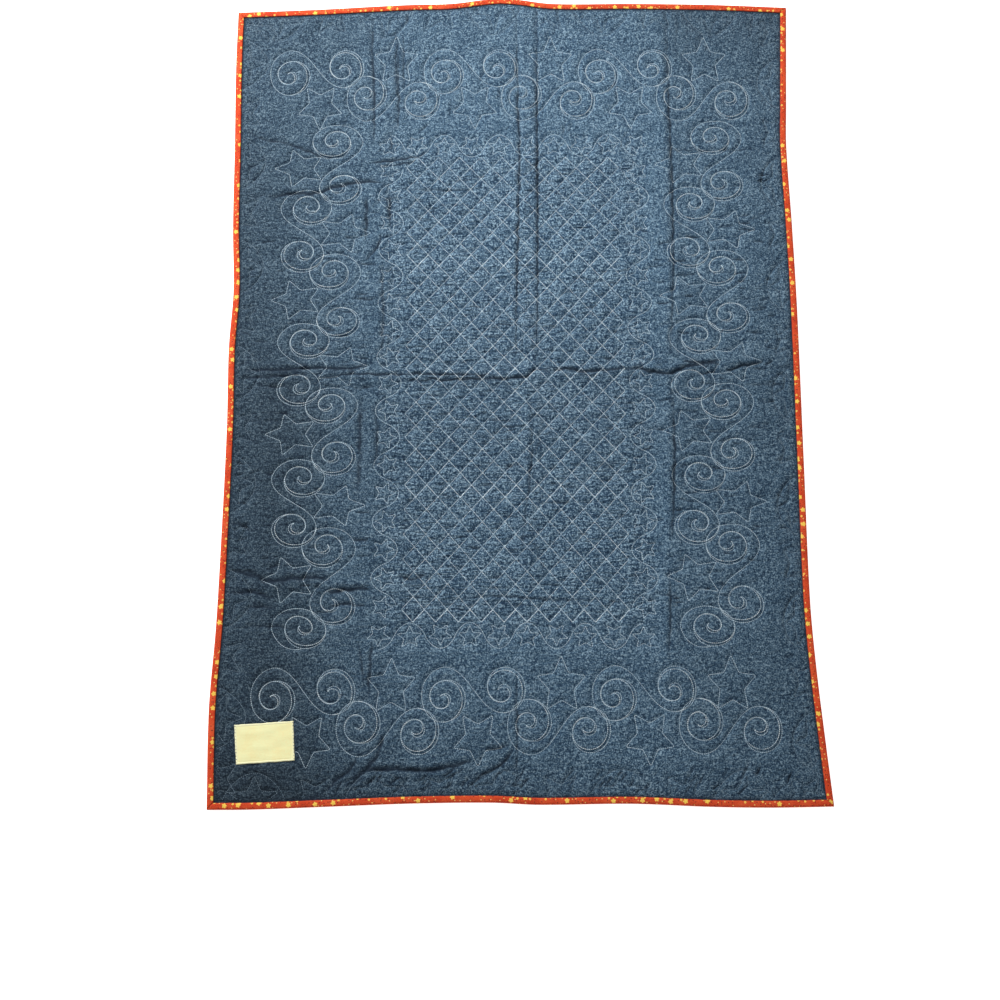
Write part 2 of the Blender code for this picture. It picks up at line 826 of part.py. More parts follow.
# Cross-section of the binding, in pairs from its upper lip round the edge to its lower lip
# Columns: outer inset, outer height, inner inset, inner height
BINDING_SECTION = (
    (BINDING_WIDTH, BINDING_THICKNESS - 0.0002, BINDING_WIDTH, RIM_TOP + GAP),
    (0.0070, BINDING_THICKNESS, 0.0070, RIM_TOP + GAP),
    (0.0022, BINDING_THICKNESS - 0.0002, 0.0020, RIM_TOP + GAP),
    (0.0005, BINDING_THICKNESS - 0.0014, BINDING_WALL, RIM_TOP),
    (0.0000, BINDING_THICKNESS / 2, BINDING_WALL, BINDING_THICKNESS / 2),
    (0.0005, 0.0010, BINDING_WALL, RIM_BOTTOM),
    (0.0022, 0.0000, 0.0020, BINDING_WALL),
    (BINDING_WIDTH, 0.0000, BINDING_WIDTH, BINDING_WALL),
)


def build_binding(side, material):
    """One binding strip: a channel along one side, cut at 45 degrees at both ends."""
    mesh_data = bmesh.new()
    cut_back = GAP / 2 * math.sqrt(2)

    def run(inset, z):
        return [mesh_data.verts.new(place(*point, z)) for point in side_line(side, inset, cut_back)]

    outer = [run(row[0], row[1]) for row in BINDING_SECTION]
    inner = [run(row[2], row[3]) for row in BINDING_SECTION]
    around = outer + inner[::-1]
    for line, after in zip(around, around[1:] + around[:1]):
        for i in range(len(line) - 1):
            mesh_data.faces.new((line[i], line[i + 1], after[i + 1], after[i]))
    for end in (0, -1):
        for pair in range(len(outer) - 1):
            mesh_data.faces.new(
                (outer[pair][end], outer[pair + 1][end], inner[pair + 1][end], inner[pair][end])
            )
    return finish_object(mesh_data, "binding_" + side, material, math.radians(60))


def build_label(material):
    """The label: a thin sheet just above the body, a little rippled along its length."""
    mesh_data = bmesh.new()
    across, up = LABEL_SQUARES
    layers = []
    for base in (LABEL_SEAT + GAP, LABEL_SEAT + GAP + LABEL_THICKNESS):
        rows = []
        for j in range(up + 1):
            row = []
            for i in range(across + 1):
                part_along, part_up = 2 * i / across - 1, 2 * j / up - 1
                ripple = LABEL_RIPPLE * (1 + math.cos(3 * math.pi * part_up)) / 2 * (1 - part_along**2)
                row.append(mesh_data.verts.new(place(*label_corner(part_along, part_up), base + ripple)))
            rows.append(row)
        layers.append(rows)
    for rows in layers:
        for j in range(up):
            for i in range(across):
                mesh_data.faces.new((rows[j][i], rows[j][i + 1], rows[j + 1][i + 1], rows[j + 1][i]))

    def outline(rows):
        bottom, top = rows[0], rows[-1]
        right = [row[-1] for row in rows[1:-1]]
        left = [row[0] for row in rows[1:-1]]
        return bottom + right + top[::-1] + left[::-1]

    band(mesh_data, outline(layers[0]), outline(layers[1]))
    return finish_object(mesh_data, "label", material, math.radians(40))


def make_material(name, colour, roughness):
    material = bpy.data.materials.new(name)
    material.use_nodes = True
    shader = material.node_tree.nodes["Principled BSDF"]
    shader.inputs["Base Color"].default_value = (*colour, 1.0)
    shader.inputs["Roughness"].default_value = roughness
    shader.inputs["Metallic"].default_value = 0.0
    return material


def main():
    for obj in list(bpy.data.objects):
        bpy.data.objects.remove(obj, do_unlink=True)
    build_body(make_material("denim_backing", (0.060, 0.120, 0.190), 0.90))
    red_cloth = make_material("red_binding", (0.640, 0.055, 0.020), 0.80)
    for side in SIDES:
        build_binding(side, red_cloth)
    build_label(make_material("cream_label", (0.830, 0.780, 0.600), 0.85))


main()
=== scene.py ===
"""Looks of a machine-quilted lap quilt that lies flat with its chambray backing upward."""

import math
import random

import bmesh
import bpy
import numpy as np
from mathutils import Matrix, Vector, noise
from mathutils.bvhtree import BVHTree
from mathutils.geometry import delaunay_2d_cdt
from mathutils.kdtree import KDTree


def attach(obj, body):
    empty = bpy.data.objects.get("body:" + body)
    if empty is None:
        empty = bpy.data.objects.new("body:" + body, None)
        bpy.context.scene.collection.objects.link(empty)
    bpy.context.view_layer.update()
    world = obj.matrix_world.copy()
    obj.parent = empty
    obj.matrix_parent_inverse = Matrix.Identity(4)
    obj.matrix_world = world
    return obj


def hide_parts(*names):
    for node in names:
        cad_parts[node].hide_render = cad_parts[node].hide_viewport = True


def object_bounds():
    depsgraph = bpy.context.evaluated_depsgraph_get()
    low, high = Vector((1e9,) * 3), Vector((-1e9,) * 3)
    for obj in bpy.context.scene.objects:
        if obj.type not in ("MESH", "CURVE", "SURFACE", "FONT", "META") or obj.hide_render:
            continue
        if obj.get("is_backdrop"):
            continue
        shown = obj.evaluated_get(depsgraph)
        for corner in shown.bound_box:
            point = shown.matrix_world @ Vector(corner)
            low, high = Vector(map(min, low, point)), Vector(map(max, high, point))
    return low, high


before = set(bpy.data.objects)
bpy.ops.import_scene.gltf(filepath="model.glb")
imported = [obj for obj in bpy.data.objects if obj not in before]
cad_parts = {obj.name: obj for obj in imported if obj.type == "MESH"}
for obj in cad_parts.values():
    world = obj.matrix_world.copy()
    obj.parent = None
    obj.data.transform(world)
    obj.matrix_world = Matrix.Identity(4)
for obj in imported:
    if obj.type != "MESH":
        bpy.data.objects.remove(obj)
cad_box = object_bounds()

random.seed(11)
MM = 0.001

# Sizes shared with the solids
WIDTH = 1.050
HEIGHT = 1.500
GAP = 0.0003
BINDING_WIDTH = 0.0116
RIM_TOP = 0.0047
RIM_BOTTOM = 0.0013
RIM_INSET = 0.0013
RIM_END = BINDING_WIDTH + 0.0007
FLAT_START = 0.0150
LONG_STATIONS = 32
SHORT_STATIONS = 28
# How far inward the whole bow of an edge reaches, and where it has faded out
BOW_FULL = 0.018
BOW_NONE = 0.090
LABEL_TURN = math.radians(3.5)
LABEL_SEAT = 0.0042

# The label as it is sewn down, a little smaller than it is cut
LABEL_WIDTH = 0.0975
LABEL_HEIGHT = 0.0668
LABEL_CENTRE = (-0.4305, -0.6380)

# Edges of the quilt as they lie. Columns: distance along, distance outward from the cut line
TOP_EDGE = (
    (-0.525, 0.0), (-0.423, 0.003), (-0.346, 0.006), (-0.27, 0.01), (-0.193, 0.0135), (-0.116, 0.015),
    (-0.039, 0.0245), (-0.001, 0.024), (0.076, 0.013), (0.229, 0.0115), (0.383, 0.0075), (0.525, 0.0),
)
BOTTOM_EDGE = (
    (-0.525, -0.001), (-0.45, -0.001), (-0.316, -0.005), (-0.182, -0.009), (-0.048, -0.0095),
    (0.03, -0.0055), (0.187, -0.006), (0.321, 0.0), (0.421, 0.002), (0.525, 0.001),
)
LEFT_EDGE = (
    (-0.75, 0.001), (-0.58, 0.004), (-0.44, -0.0025), (-0.3, -0.0055), (-0.08, -0.008), (0.07, -0.006),
    (0.18, -0.0105), (0.306, -0.005), (0.468, -0.0025), (0.634, 0.001), (0.75, 0.0005),
)
RIGHT_EDGE = (
    (-0.75, 0.0), (-0.65, -0.0075), (-0.515, -0.0165), (-0.4, -0.0205), (-0.16, -0.0175),
    (0.14, -0.0135), (0.3, -0.014), (0.46, -0.016), (0.54, -0.012), (0.625, -0.0075), (0.75, -0.001),
)

# Diamond quilting in the middle
DIAMOND_WIDTH = 0.0394
DIAMOND_HEIGHT = 0.0435
DIAMONDS_ACROSS = 10
DIAMONDS_UP = 20
DIAMOND_CENTRE = (0.0, 0.0028)
DIAMOND_TILT = -0.008
# How the rows of diamonds have moved. Columns: distance up, shift along, lift
DIAMOND_DRIFT = (
    (-0.432, -0.0055, -0.0025), (-0.3, -0.0035, 0.0), (-0.21, -0.0019, 0.0025),
    (-0.04, -0.0023, 0.0036), (0.045, -0.0016, 0.0016), (0.22, -0.0015, 0.0043), (0.44, -0.0028, 0.004),
)
# Rows where two passes of the machine meet and the points of the diamonds are sewn twice
MEETING_ROWS = (0, 10, 20, 30)
SECOND_PASS = (0.0004, -0.0006)

# Chain of small stars round the diamonds, and of large ones along the edge
CHAIN_STAR = (0.0215, 0.0205)
CHAIN_WAVE = 0.0225
WAVE_ROUNDNESS = 0.75
WAVE_STEPS = 16
STAR_NOTCH = 0.43
TIP_ROUNDING = 0.06
NOTCH_ROUNDING = 0.04
# Columns: start, direction of travel, number of stars, pitch, whether the first is upright
STAR_CHAINS = (
    ((-0.232, 0.466), (1, 0), 10, 0.0511, True),
    ((-0.238, -0.460), (1, 0), 10, 0.0502, False),
    ((-0.229, 0.411), (0, -1), 17, 0.0511, True),
    ((0.229, 0.411), (0, -1), 17, 0.0511, False),
)
CHAIN_STAR_SET_BACK = 0.0023
# How each chain has moved, in the order above. Columns: distance along it, shift right, shift up
CHAIN_DRIFT = (
    ((0.000, 0.0000, 0.0000), (0.230, 0.0000, -0.0005), (0.460, 0.0000, -0.0010)),
    ((0.000, -0.0040, 0.0015), (0.100, 0.0030, 0.0030), (0.250, 0.0020, 0.0015), (0.460, 0.0010, -0.0020)),
    (
        (0.0, -0.0015, 0.004), (0.1, 0.0014, 0.002), (0.31, 0.0014, -0.0036), (0.51, -0.0013, -0.0018),
        (0.82, -0.005, -0.0005),
    ),
    (
        (0.0, -0.0025, 0.0), (0.2, -0.004, -0.0035), (0.41, -0.0032, -0.0014), (0.61, -0.0062, -0.0033),
        (0.82, -0.0094, -0.0043),
    ),
)
EDGE_STAR = (0.0440, 0.0410)
EDGE_CHAIN_WAVE = 0.045
EDGE_CHAIN_INSET = 0.016
EDGE_CHAIN_CLEAR = 0.016
# Columns: side, distance along it to the first arch that points inward, arch to arch
EDGE_CHAINS = (
    ("bottom", 0.078, 0.206),
    ("right", 0.105, 0.206),
    ("top", 0.148, 0.206),
    ("left", 0.110, 0.206),
)

# One repeat of the border: two pairs of swirls and two stars
# Columns: along, up, kind of swirl
SWIRLS = (
    (0.000, 0.000, "long"),
    (0.1035, 0.0095, "short"),
    (0.1465, -0.0500, "long"),
    (0.2475, -0.0580, "short"),
)
# Columns: quarter turns from the outer end, distance from the heart, how far the way back lies beside it
SWIRL_REACH = {
    "long": (
        (0, 0.05, 0.0), (1, 0.037, 0.0), (2, 0.044, 0.0), (3, 0.0375, -0.0055), (4, 0.027, -0.0005),
        (5, 0.0225, 0.0008), (6, 0.0205, 0.0003), (7, 0.011, -0.0055), (8, 0.004, -0.001),
        (9, 0.0055, -0.0005),
    ),
    "short": (
        (0, 0.039, 0.0), (1, 0.037, -0.0048), (2, 0.039, -0.0052), (3, 0.027, 0.0006),
        (4, 0.0195, 0.0004), (5, 0.0125, -0.004), (6, 0.01, -0.0052), (7, 0.01, -0.0006),
    ),
}
STEPS_A_QUARTER = 10
# How the outer end of a lone last swirl runs on. Columns: quarter turns, distance from the heart
LONE_END = ((0.0, 0.0500), (0.5, 0.0462), (1.0, 0.0385))
# Columns: along, half size along, half size up (negative points down)
BORDER_STARS = ((0.2025, 0.044, 0.051), (0.059, 0.044, -0.049))
BORDER_STAR_NOTCH = 0.50
SWIRL_BEND = 0.045
BEND_STEPS = 24
# Columns: start, direction of travel, number of repeats, pitch, swirls in the last repeat,
# how far up the two stars of a repeat lie
BORDERS = (
    ((-0.422, 0.616), (1, 0), 3, 0.2920, 4, (0.0235, -0.0685)),
    ((-0.423, -0.560), (1, 0), 3, 0.2920, 4, (0.018, -0.073)),
    ((-0.332, 0.476), (0, -1), 4, 0.2615, 3, (0.017, -0.066)),
    ((0.376, 0.476), (0, -1), 4, 0.2615, 3, (0.017, -0.066)),
)
SIDE_SQUEEZE = 0.92
# How each border has moved, in the order above. Columns: distance along it, shift right, shift up
BORDER_DRIFT = (
    (
        (0.0, 0.0, 0.001), (0.2, -0.0015, 0.002), (0.49, -0.0015, 0.0), (0.64, -0.0018, -0.0015),
        (0.79, -0.0025, -0.0035),
    ),
    (
        (0.0, 0.003, -0.001), (0.06, 0.0025, -0.0017), (0.2, 0.002, -0.0034), (0.34, 0.0012, -0.001),
        (0.49, 0.0006, -0.0022), (0.64, 0.0004, -0.0012), (0.79, -0.0008, -0.0036),
    ),
    (
        (0.0, 0.0, 0.0), (0.18, 0.0, 0.002), (0.31, 0.0, 0.0005), (0.44, 0.001, 0.0035),
        (0.58, -0.003, 0.0075), (0.66, -0.002, 0.0062), (0.75, -0.002, 0.0092), (0.8, -0.001, 0.0075),
        (0.84, -0.001, 0.005), (0.89, 0.0015, 0.0005), (0.94, 0.0085, 0.0), (0.98, 0.0095, 0.0),
    ),
    (
        (0.0, -0.001, 0.002), (0.18, 0.0, 0.003), (0.31, 0.0, 0.003), (0.44, 0.0, 0.0067),
        (0.57, -0.003, 0.0085), (0.66, -0.003, 0.008), (0.74, -0.004, 0.01), (0.79, -0.004, 0.008),
        (0.835, -0.004, 0.006), (0.88, -0.001, 0.0), (0.93, 0.003, -0.001), (0.98, 0.004, -0.001),
    ),
)

# Broad rises left from folding, in millimetres. Columns: height, half width, bends
SWELLS = (
    (2.8, 13, ((-520, 22), (-200, 12), (100, 16), (260, 28), (505, 46))),
    (1.8, 12, ((-505, 395), (-330, 360), (-150, 368))),
    (1.6, 12, ((230, 380), (350, 392), (480, 400))),
    (1.4, 12, ((-480, -360), (-250, -372), (0, -380))),
    (1.8, 12, ((-247, 720), (-243, 300), (-252, -200), (-246, -700))),
    (2.2, 15, ((26, 735), (24, 300), (22, -100), (8, -700))),
    (2.4, 13, ((280, 730), (278, 250), (268, -200), (250, -700))),
)
# Creases, in millimetres. Columns: depth, half width, rise of its lips, bends
CREASES = (
    (3.8, 2.2, 1.6, ((-503, 27), (-434, 27), (-364, 31), (-300, 29), (-256, 39))),
    (3.2, 2.0, 1.2, ((-505, 12), (-440, 15), (-372, 19))),
    (3.0, 2.0, 1.2, ((-349, 11), (-299, 18), (-236, 17), (-173, 17))),
    (2.0, 2.0, 0.8, ((-470, -2), (-400, -6))),
    (3.6, 2.0, 1.2, ((-214, 17), (-119, 16), (-38, 14))),
    (3.4, 2.0, 1.4, ((-212, 6), (-119, 7), (-29, 8), (18, 11), (34, 24), (80, 27))),
    (3.8, 2.4, 1.4, ((62, 22), (102, 25), (117, 20), (152, 22), (187, 25), (196, 29))),
    (4.0, 2.4, 1.6, (
        (186, 23), (215, 25), (241, 20), (262, 16), (280, 16), (302, 25), (338, 34), (372, 39),
    )),
    (3.4, 2.4, 1.2, ((296, 36), (330, 35), (366, 32))),
    (3.4, 2.0, 1.4, ((374, 19), (412, 29), (448, 37))),
    (2.4, 2.0, 0.8, ((446, 29), (470, 36))),
    (1.6, 2.0, 0.6, ((400, -7), (500, -8))),
    (2.8, 2.0, 1.0, ((6, 738), (8, 583), (10, 438), (6, 297), (2, 159), (0, 30))),
    (3.0, 2.0, 1.0, ((46, 738), (44, 520), (43, 357), (40, 159), (38, 45))),
    (1.8, 2.2, 0.8, ((25, -13), (27, -125), (15, -235), (7, -325))),
    (2.2, 2.0, 0.8, ((-4, -500), (-5, -728))),
    (1.8, 2.4, 0.8, ((-277, -463), (-269, -506), (-264, -549))),
    (1.8, 1.8, 0.6, ((-222, 705), (-221, 575))),
    (1.8, 1.8, 0.6, ((-208, 701), (-207, 570))),
    (1.6, 1.8, 0.6, ((-228, 494), (-228, 449))),
    (2.2, 2.4, 1.0, ((292, 738), (293, 643), (292, 518), (294, 435), (290, 255), (282, 99), (274, 25))),
    (2.4, 2.4, 1.0, ((279, -20), (280, -127), (272, -255), (268, -300))),
    (2.2, 2.4, 1.0, ((262, -340), (263, -397), (256, -502))),
    (2.6, 2.4, 1.0, ((-219, 669), (-216, 564), (-217, 496))),
    (2.4, 2.0, 0.8, ((-197, 757), (-202, 712))),
    (2.4, 2.4, 0.8, ((-268, 734), (-266, 649), (-262, 540), (-262, 461))),
    (2.6, 3.0, 1.0, ((-273, 366), (-274, 276))),
    (2.4, 2.6, 1.0, ((-231, 383), (-230, 299))),
    (2.0, 2.6, 1.0, ((-243, 236), (-240, 103), (-245, 40))),
    (2.2, 4.0, 1.0, ((-277, -20), (-279, -123), (-281, -214))),
    (1.8, 2.6, 0.8, ((-250, -30), (-248, -160))),
    (2.4, 3.0, 1.0, ((-253, -463), (-258, -566))),
    (2.2, 2.4, 1.0, ((-509, 505), (-468, 482), (-427, 475), (-353, 446), (-314, 449), (-297, 445))),
    (3.8, 2.6, 1.6, ((-459, 357), (-424, 371), (-363, 373), (-335, 384), (-274, 396), (-238, 388))),
    (2.8, 2.2, 1.0, ((-269, 433), (-222, 438), (-189, 444), (-155, 456))),
    (2.0, 2.0, 0.8, ((-260, 428), (-235, 426), (-183, 436))),
    (1.6, 2.2, 0.5, ((-218, 379), (-129, 377), (-40, 379))),
    (1.6, 2.0, 0.6, ((-155, 518), (-185, 485))),
    (2.2, 2.2, 0.8, ((-245, 290), (-254, 262), (-274, 236))),
    (1.8, 2.0, 0.6, ((-290, 232), (-250, 228))),
    (1.8, 2.0, 0.6, ((-298, 163), (-250, 161))),
    (1.4, 2.2, 0.5, ((236, 456), (348, 453), (479, 455))),
    (2.6, 2.2, 1.0, ((-512, -254), (-484, -260), (-471, -273))),
    (2.6, 2.4, 1.0, ((-290, -288), (-259, -287))),
    (3.8, 3.0, 1.6, ((-509, -338), (-458, -349), (-435, -359), (-385, -354), (-343, -354), (-329, -361))),
    (3.8, 3.0, 1.6, ((-332, -379), (-297, -375), (-256, -372))),
    (3.6, 2.8, 1.4, ((-508, -377), (-457, -378), (-422, -392))),
    (3.0, 2.4, 1.2, ((-328, -405), (-297, -400), (-261, -404))),
    (2.8, 2.4, 1.0, ((-470, -404), (-425, -406))),
    (2.6, 2.2, 1.0, ((-211, -350), (-185, -357), (-157, -350))),
    (1.8, 2.0, 0.6, ((-490, -440), (-420, -438), (-340, -452))),
    (1.8, 2.2, 0.6, ((-120, -392), (-40, -388), (60, -396), (150, -392))),
    (4.0, 3.4, 1.8, (
        (-282, -694), (-256, -686), (-208, -685), (-181, -688), (-140, -687), (-96, -674), (-78, -672),
    )),
    (2.8, 2.6, 1.2, ((-326, -725), (-308, -704), (-287, -686), (-275, -663))),
    (2.8, 2.6, 1.2, ((-291, -716), (-268, -694), (-243, -664), (-230, -621))),
    (3.0, 2.6, 1.2, ((-64, -701), (-47, -688), (-25, -671), (-10, -648))),
    (2.2, 2.2, 0.8, ((-61, -652), (-34, -648), (-15, -641))),
)
# Small puckers. Columns: number, lowest corner, highest corner, turn in degrees, depth in millimetres
PUCKERS = (
    (320, (-0.205, -0.420), (0.205, 0.420), 4, 1.5),
    (60, (0.012, -0.420), (0.052, 0.440), 80, 1.1),
    (150, (0.215, -0.420), (0.500, 0.400), 6, 1.8),
    (110, (-0.500, -0.420), (-0.215, 0.420), 8, 1.8),
    (34, (-0.470, 0.420), (0.470, 0.700), 90, 1.0),
    (60, (-0.360, -0.728), (0.480, -0.690), 60, 1.9),
    (24, (0.440, -0.650), (0.488, 0.650), 4, 1.2),
)

PUCKER_HALF_WIDTH = 0.0018
PUCKER_LIP = 0.0005
# How much wider than in the table a crease is drawn, and how far it wanders
CREASE_SPREAD = 1.2
CREASE_WANDER = 0.0030
WANDER_SCALE = 70

# Surface of the backing
STITCHED_THICKNESS = 0.0032
PUFF = 0.0032
PUFF_REACH = 0.0027
PUFF_UNEVENNESS = 0.30
UNEVEN_SIZE = 0.055
UNEVEN_HEIGHT = 0.0007
FINE_SIZE = 0.016
FINE_HEIGHT = 0.00045
FINE_REACH = 0.006
BROKEN_SIZE = 0.017
BROKEN_SHARE = 0.60
LIP_REACH = 2.6
RIM_RISE = 0.010
RIM_STEP = 0.0006
LINE_STEP = 0.0042
ROW_OFFSET = 0.0023
CREASE_STEP = 0.0038
CREASE_SHIFT = -0.0012
FILL_STEP = 0.0058
SEAM_SPACING = 0.0024
SEAM_SIDE_SPACING = 0.0021
CREASE_SPACING = 0.0018
CREASE_SIDE_SPACING = 0.0019
FILL_SPACING = 0.0040
INSIDE_CLEAR = 0.003
RIM_FINER = 10
UNDER_ROWS = 20
UNDER_COLUMNS = 14
CELL = 0.0060
SAMPLE_STEP = 0.0012
LEAST_HEIGHT = 0.0014
# Painted shade: the crease depth that is fully shaded, the painted shade along the rim inside the binding
# and how wide it is, the painted shadow round the label, and how far out from the label its seat and
# painted shadow reach
DEEPEST_CREASE = 0.0028
RIM_SHADE = 0.75
RIM_SHADE_WIDTH = 0.0010
LABEL_SHADE = 0.45
LABEL_MARGIN = 0.003

# Stitches
STITCH_CLEAR = 0.002
STITCH_PITCH = 0.0034
STITCH_LENGTH = 0.0033
STITCH_SINK = 0.00005
STITCH_RISE = 0.00040
# Columns: name, darkest and palest colour
THREAD_COLOURS = (
    ("pale_thread", (0.38, 0.52, 0.64), (0.88, 0.97, 1.00)),
    ("soft_thread", (0.40, 0.54, 0.65), (0.70, 0.83, 0.91)),
    ("blue_thread", (0.13, 0.205, 0.28), (0.25, 0.34, 0.42)),
    ("navy_thread", (0.03, 0.06, 0.12), (0.08, 0.13, 0.22)),
)
# Columns: name of the piece, kinds of line that it sews, width of a stitch, its thread
THREADS = (
    ("thread_diamonds", ("diamond", "diamond again"), 0.00108, "pale_thread"),
    ("thread_swirls", ("swirl",), 0.00115, "soft_thread"),
    ("thread_swirls_back", ("swirl back",), 0.00125, "pale_thread"),
    ("thread_stars", ("star",), 0.00115, "soft_thread"),
    ("thread_edge", ("edge",), 0.00070, "blue_thread"),
)

# Cross-section of the binding cloth, from its inner edge above, over and under to its inner edge below
# Columns: inset, height, part of the cloth's width passed
BINDING_SECTION = (
    (0.0119, 0.00425, 0.0), (0.01165, 0.0053, 0.04), (0.0108, 0.00595, 0.09), (0.0086, 0.0062, 0.17),
    (0.0065, 0.00628, 0.25), (0.0038, 0.00626, 0.35), (0.0019, 0.00602, 0.42), (0.0008, 0.0052, 0.48),
    (0.0002, 0.0032, 0.55), (0.0006, 0.0014, 0.61), (0.0018, 0.0003, 0.67), (0.0045, 0.0, 0.78),
    (0.0116, 0.0, 1.0),
)
CLOTH_AROUND = 0.0260
BINDING_WALL = 0.0009
BINDING_STEP = 0.0045
FOLD_INSET = 0.002
FOLD_HEIGHT = 0.003
MITRE_GAP = 0.0002
BINDING_WAVE = 0.00045
BINDING_PULL = 0.00030
BINDING_SWAY = 0.0007
BINDING_WAVE_SCALE = 60
BINDING_PULL_SCALE = 170

# Relief and sewing of the label
LABEL_CELLS = (120, 84)
LABEL_THICKNESS = 0.0009
LABEL_HEM = 0.0036
LABEL_PULL = 0.0006
LABEL_RIPPLE = 0.0005
LABEL_ROUNDING = 0.0004
HEM_RISE = 0.00030
HEM_STEP = 0.00045
WHIP_PITCH = 0.0056
WHIP_REACH = 0.0024
WHIP_OUTSIDE = 0.0007
WHIP_SLANT = 0.0010
WHIP_WIDTH = 0.0009

# Painted light and shade on the denim: brighter through the middle, darker towards the left and lower
# edges. Columns: distance, share of its middle tone
PAINTED_LIGHT_ACROSS = (
    (-0.525, 0.47), (-0.48, 0.54), (-0.4, 0.66), (-0.32, 0.86), (-0.24, 1.0), (-0.19, 1.12),
    (-0.1, 1.17), (0.02, 1.24), (0.14, 1.22), (0.23, 1.21), (0.275, 1.2), (0.297, 1.05), (0.34, 1.03),
    (0.42, 1.02), (0.525, 0.86),
)
PAINTED_LIGHT_UP = (
    (-0.76, 0.62), (-0.69, 0.78), (-0.61, 0.88), (-0.5, 0.93), (-0.3, 0.98), (-0.15, 0.91),
    (-0.05, 0.89), (0.08, 0.99), (0.25, 1.12), (0.42, 1.07), (0.6, 1.03), (0.7, 0.97), (0.76, 0.94),
)
# Top of the scale that the painted light and shade tables are read on
BRIGHTEST_PAINTED_LIGHT = 1.40
# Share of extra contrast in the middle, where the denim is most puckered
MIDDLE_CONTRAST = 0.28
DENIM_TONES = (
    (0.40, (0.009, 0.029, 0.062)),
    (0.455, (0.030, 0.069, 0.118)),
    (0.50, (0.064, 0.121, 0.182)),
    (0.545, (0.124, 0.204, 0.276)),
    (0.61, (0.250, 0.350, 0.430)),
)
# Print of the binding. Columns: shape, spacing, size, share of cells that have one, shift, colour
PRINT = (
    ("dot", 0.0060, 0.0009, 0.55, (3.1, 3.1 * 0.61), (0.16, 0.025, 0.012)),
    ("dot", 0.0085, 0.0010, 0.50, (8.3, 8.3 * 0.61), (0.95, 0.58, 0.16)),
    ("star", 0.0150, 0.0024, 0.45, (1.7, 1.7 * 0.37), (0.98, 0.56, 0.10)),
    ("star", 0.0250, 0.0045, 0.58, (5.2, 5.2 * 0.37), (1.00, 0.64, 0.10)),
)
PRINT_STAR_TURN = 6.3
PRINT_STAR_NOTCH = 0.62

# Camera, lights and floor
CAMERA_PLACE = (-0.022, -0.875, 2.599)
CAMERA_ELEVATION = math.radians(75.78)
CAMERA_YAW = math.radians(0.75)
CAMERA_ROLL = math.radians(-1.18)
LENS = 54.79
# Columns: name, place, aim, size, power
LIGHTS = (
    ("key", (-1.75, 2.05, 1.75), (0.05, 0.05, 0.0), 0.45, 124.0),
    ("fill", (0.30, 0.10, 2.60), (0.06, 0.0, 0.0), 1.2, 12.0),
)
FLOOR_HALF = 6.0


def neighbours(line, i, beyond=1):
    """The points before and after point i, or the line's own end."""
    return line[max(i - 1, 0)], line[min(i + beyond, len(line) - 1)]


def table_value(table, at, column=1):
    """Reads a column of a table as a smooth curve through its rows."""
    last = len(table) - 2
    row = 0
    while row < last and at > table[row + 1][0]:
        row += 1
    start, end = table[row], table[row + 1]
    before, after = neighbours(table, row, 2)
    span = end[0] - start[0]
    part = min(max((at - start[0]) / span, 0.0), 1.0)
    slope_start = (end[column] - before[column]) / (end[0] - before[0]) * span
    slope_end = (after[column] - start[column]) / (after[0] - start[0]) * span
    cube, square = part**3, part**2
    return (
        (2 * cube - 3 * square + 1) * start[column]
        + (cube - 2 * square + part) * slope_start
        + (3 * square - 2 * cube) * end[column]
        + (cube - square) * slope_end
    )


def smooth(part):
    part = min(max(part, 0.0), 1.0)
    return part * part * (3 - 2 * part)


def bow_share(from_edge):
    return smooth((BOW_NONE - from_edge) / (BOW_NONE - BOW_FULL))


def bowed(u, v):
    """Moves a point of the cut rectangle to where it lies."""
    if u > 0:
        x = u + table_value(RIGHT_EDGE, v) * bow_share(WIDTH / 2 - u)
    else:
        x = u - table_value(LEFT_EDGE, v) * bow_share(WIDTH / 2 + u)
    if v > 0:
        y = v + table_value(TOP_EDGE, u) * bow_share(HEIGHT / 2 - v)
    else:
        y = v - table_value(BOTTOM_EDGE, u) * bow_share(HEIGHT / 2 + v)
    return x, y


def side_point(side, along, inset):
    """A point of the cut rectangle, given along one side and inset from it."""
    if side == "bottom":
        return along - WIDTH / 2, inset - HEIGHT / 2
    if side == "right":
        return WIDTH / 2 - inset, along - HEIGHT / 2
    if side == "top":
        return WIDTH / 2 - along, HEIGHT / 2 - inset
    return inset - WIDTH / 2, HEIGHT / 2 - along


SIDES = {
    "bottom": (WIDTH, SHORT_STATIONS),
    "right": (HEIGHT, LONG_STATIONS),
    "top": (WIDTH, SHORT_STATIONS),
    "left": (HEIGHT, LONG_STATIONS),
}


def loop(inset, finer=1):
    """A closed loop of points at an inset from the whole edge."""
    points = []
    for side, (length, stations) in SIDES.items():
        count = stations * finer
        for i in range(count):
            points.append(side_point(side, inset + (length - 2 * inset) * i / count, inset))
    return points


def centre_of_box():
    outline = [bowed(*point) for point in loop(0.0)]
    xs = [point[0] for point in outline]
    ys = [point[1] for point in outline]
    return (min(xs) + max(xs)) / 2, (min(ys) + max(ys)) / 2


CENTRE = centre_of_box()


def place(u, v, z):
    x, y = bowed(u, v)
    return x - CENTRE[0], y - CENTRE[1], z


def distance(a, b):
    return math.hypot(a[0] - b[0], a[1] - b[1])


def between(a, b, part):
    """The point that lies a part of the way from one point to another."""
    return tuple(a[n] + (b[n] - a[n]) * part for n in (0, 1))


def resample(points, step):
    """Points at an even step along a line, with both its ends."""
    lengths = [distance(a, b) for a, b in zip(points, points[1:])]
    count = max(round(sum(lengths) / step), 1)
    wanted = [sum(lengths) * i / count for i in range(count + 1)]
    result, done, leg = [], 0.0, 0
    for target in wanted:
        while leg < len(lengths) - 1 and done + lengths[leg] < target:
            done += lengths[leg]
            leg += 1
        part = (target - done) / lengths[leg] if lengths[leg] else 0.0
        result.append(between(points[leg], points[leg + 1], part))
    return result


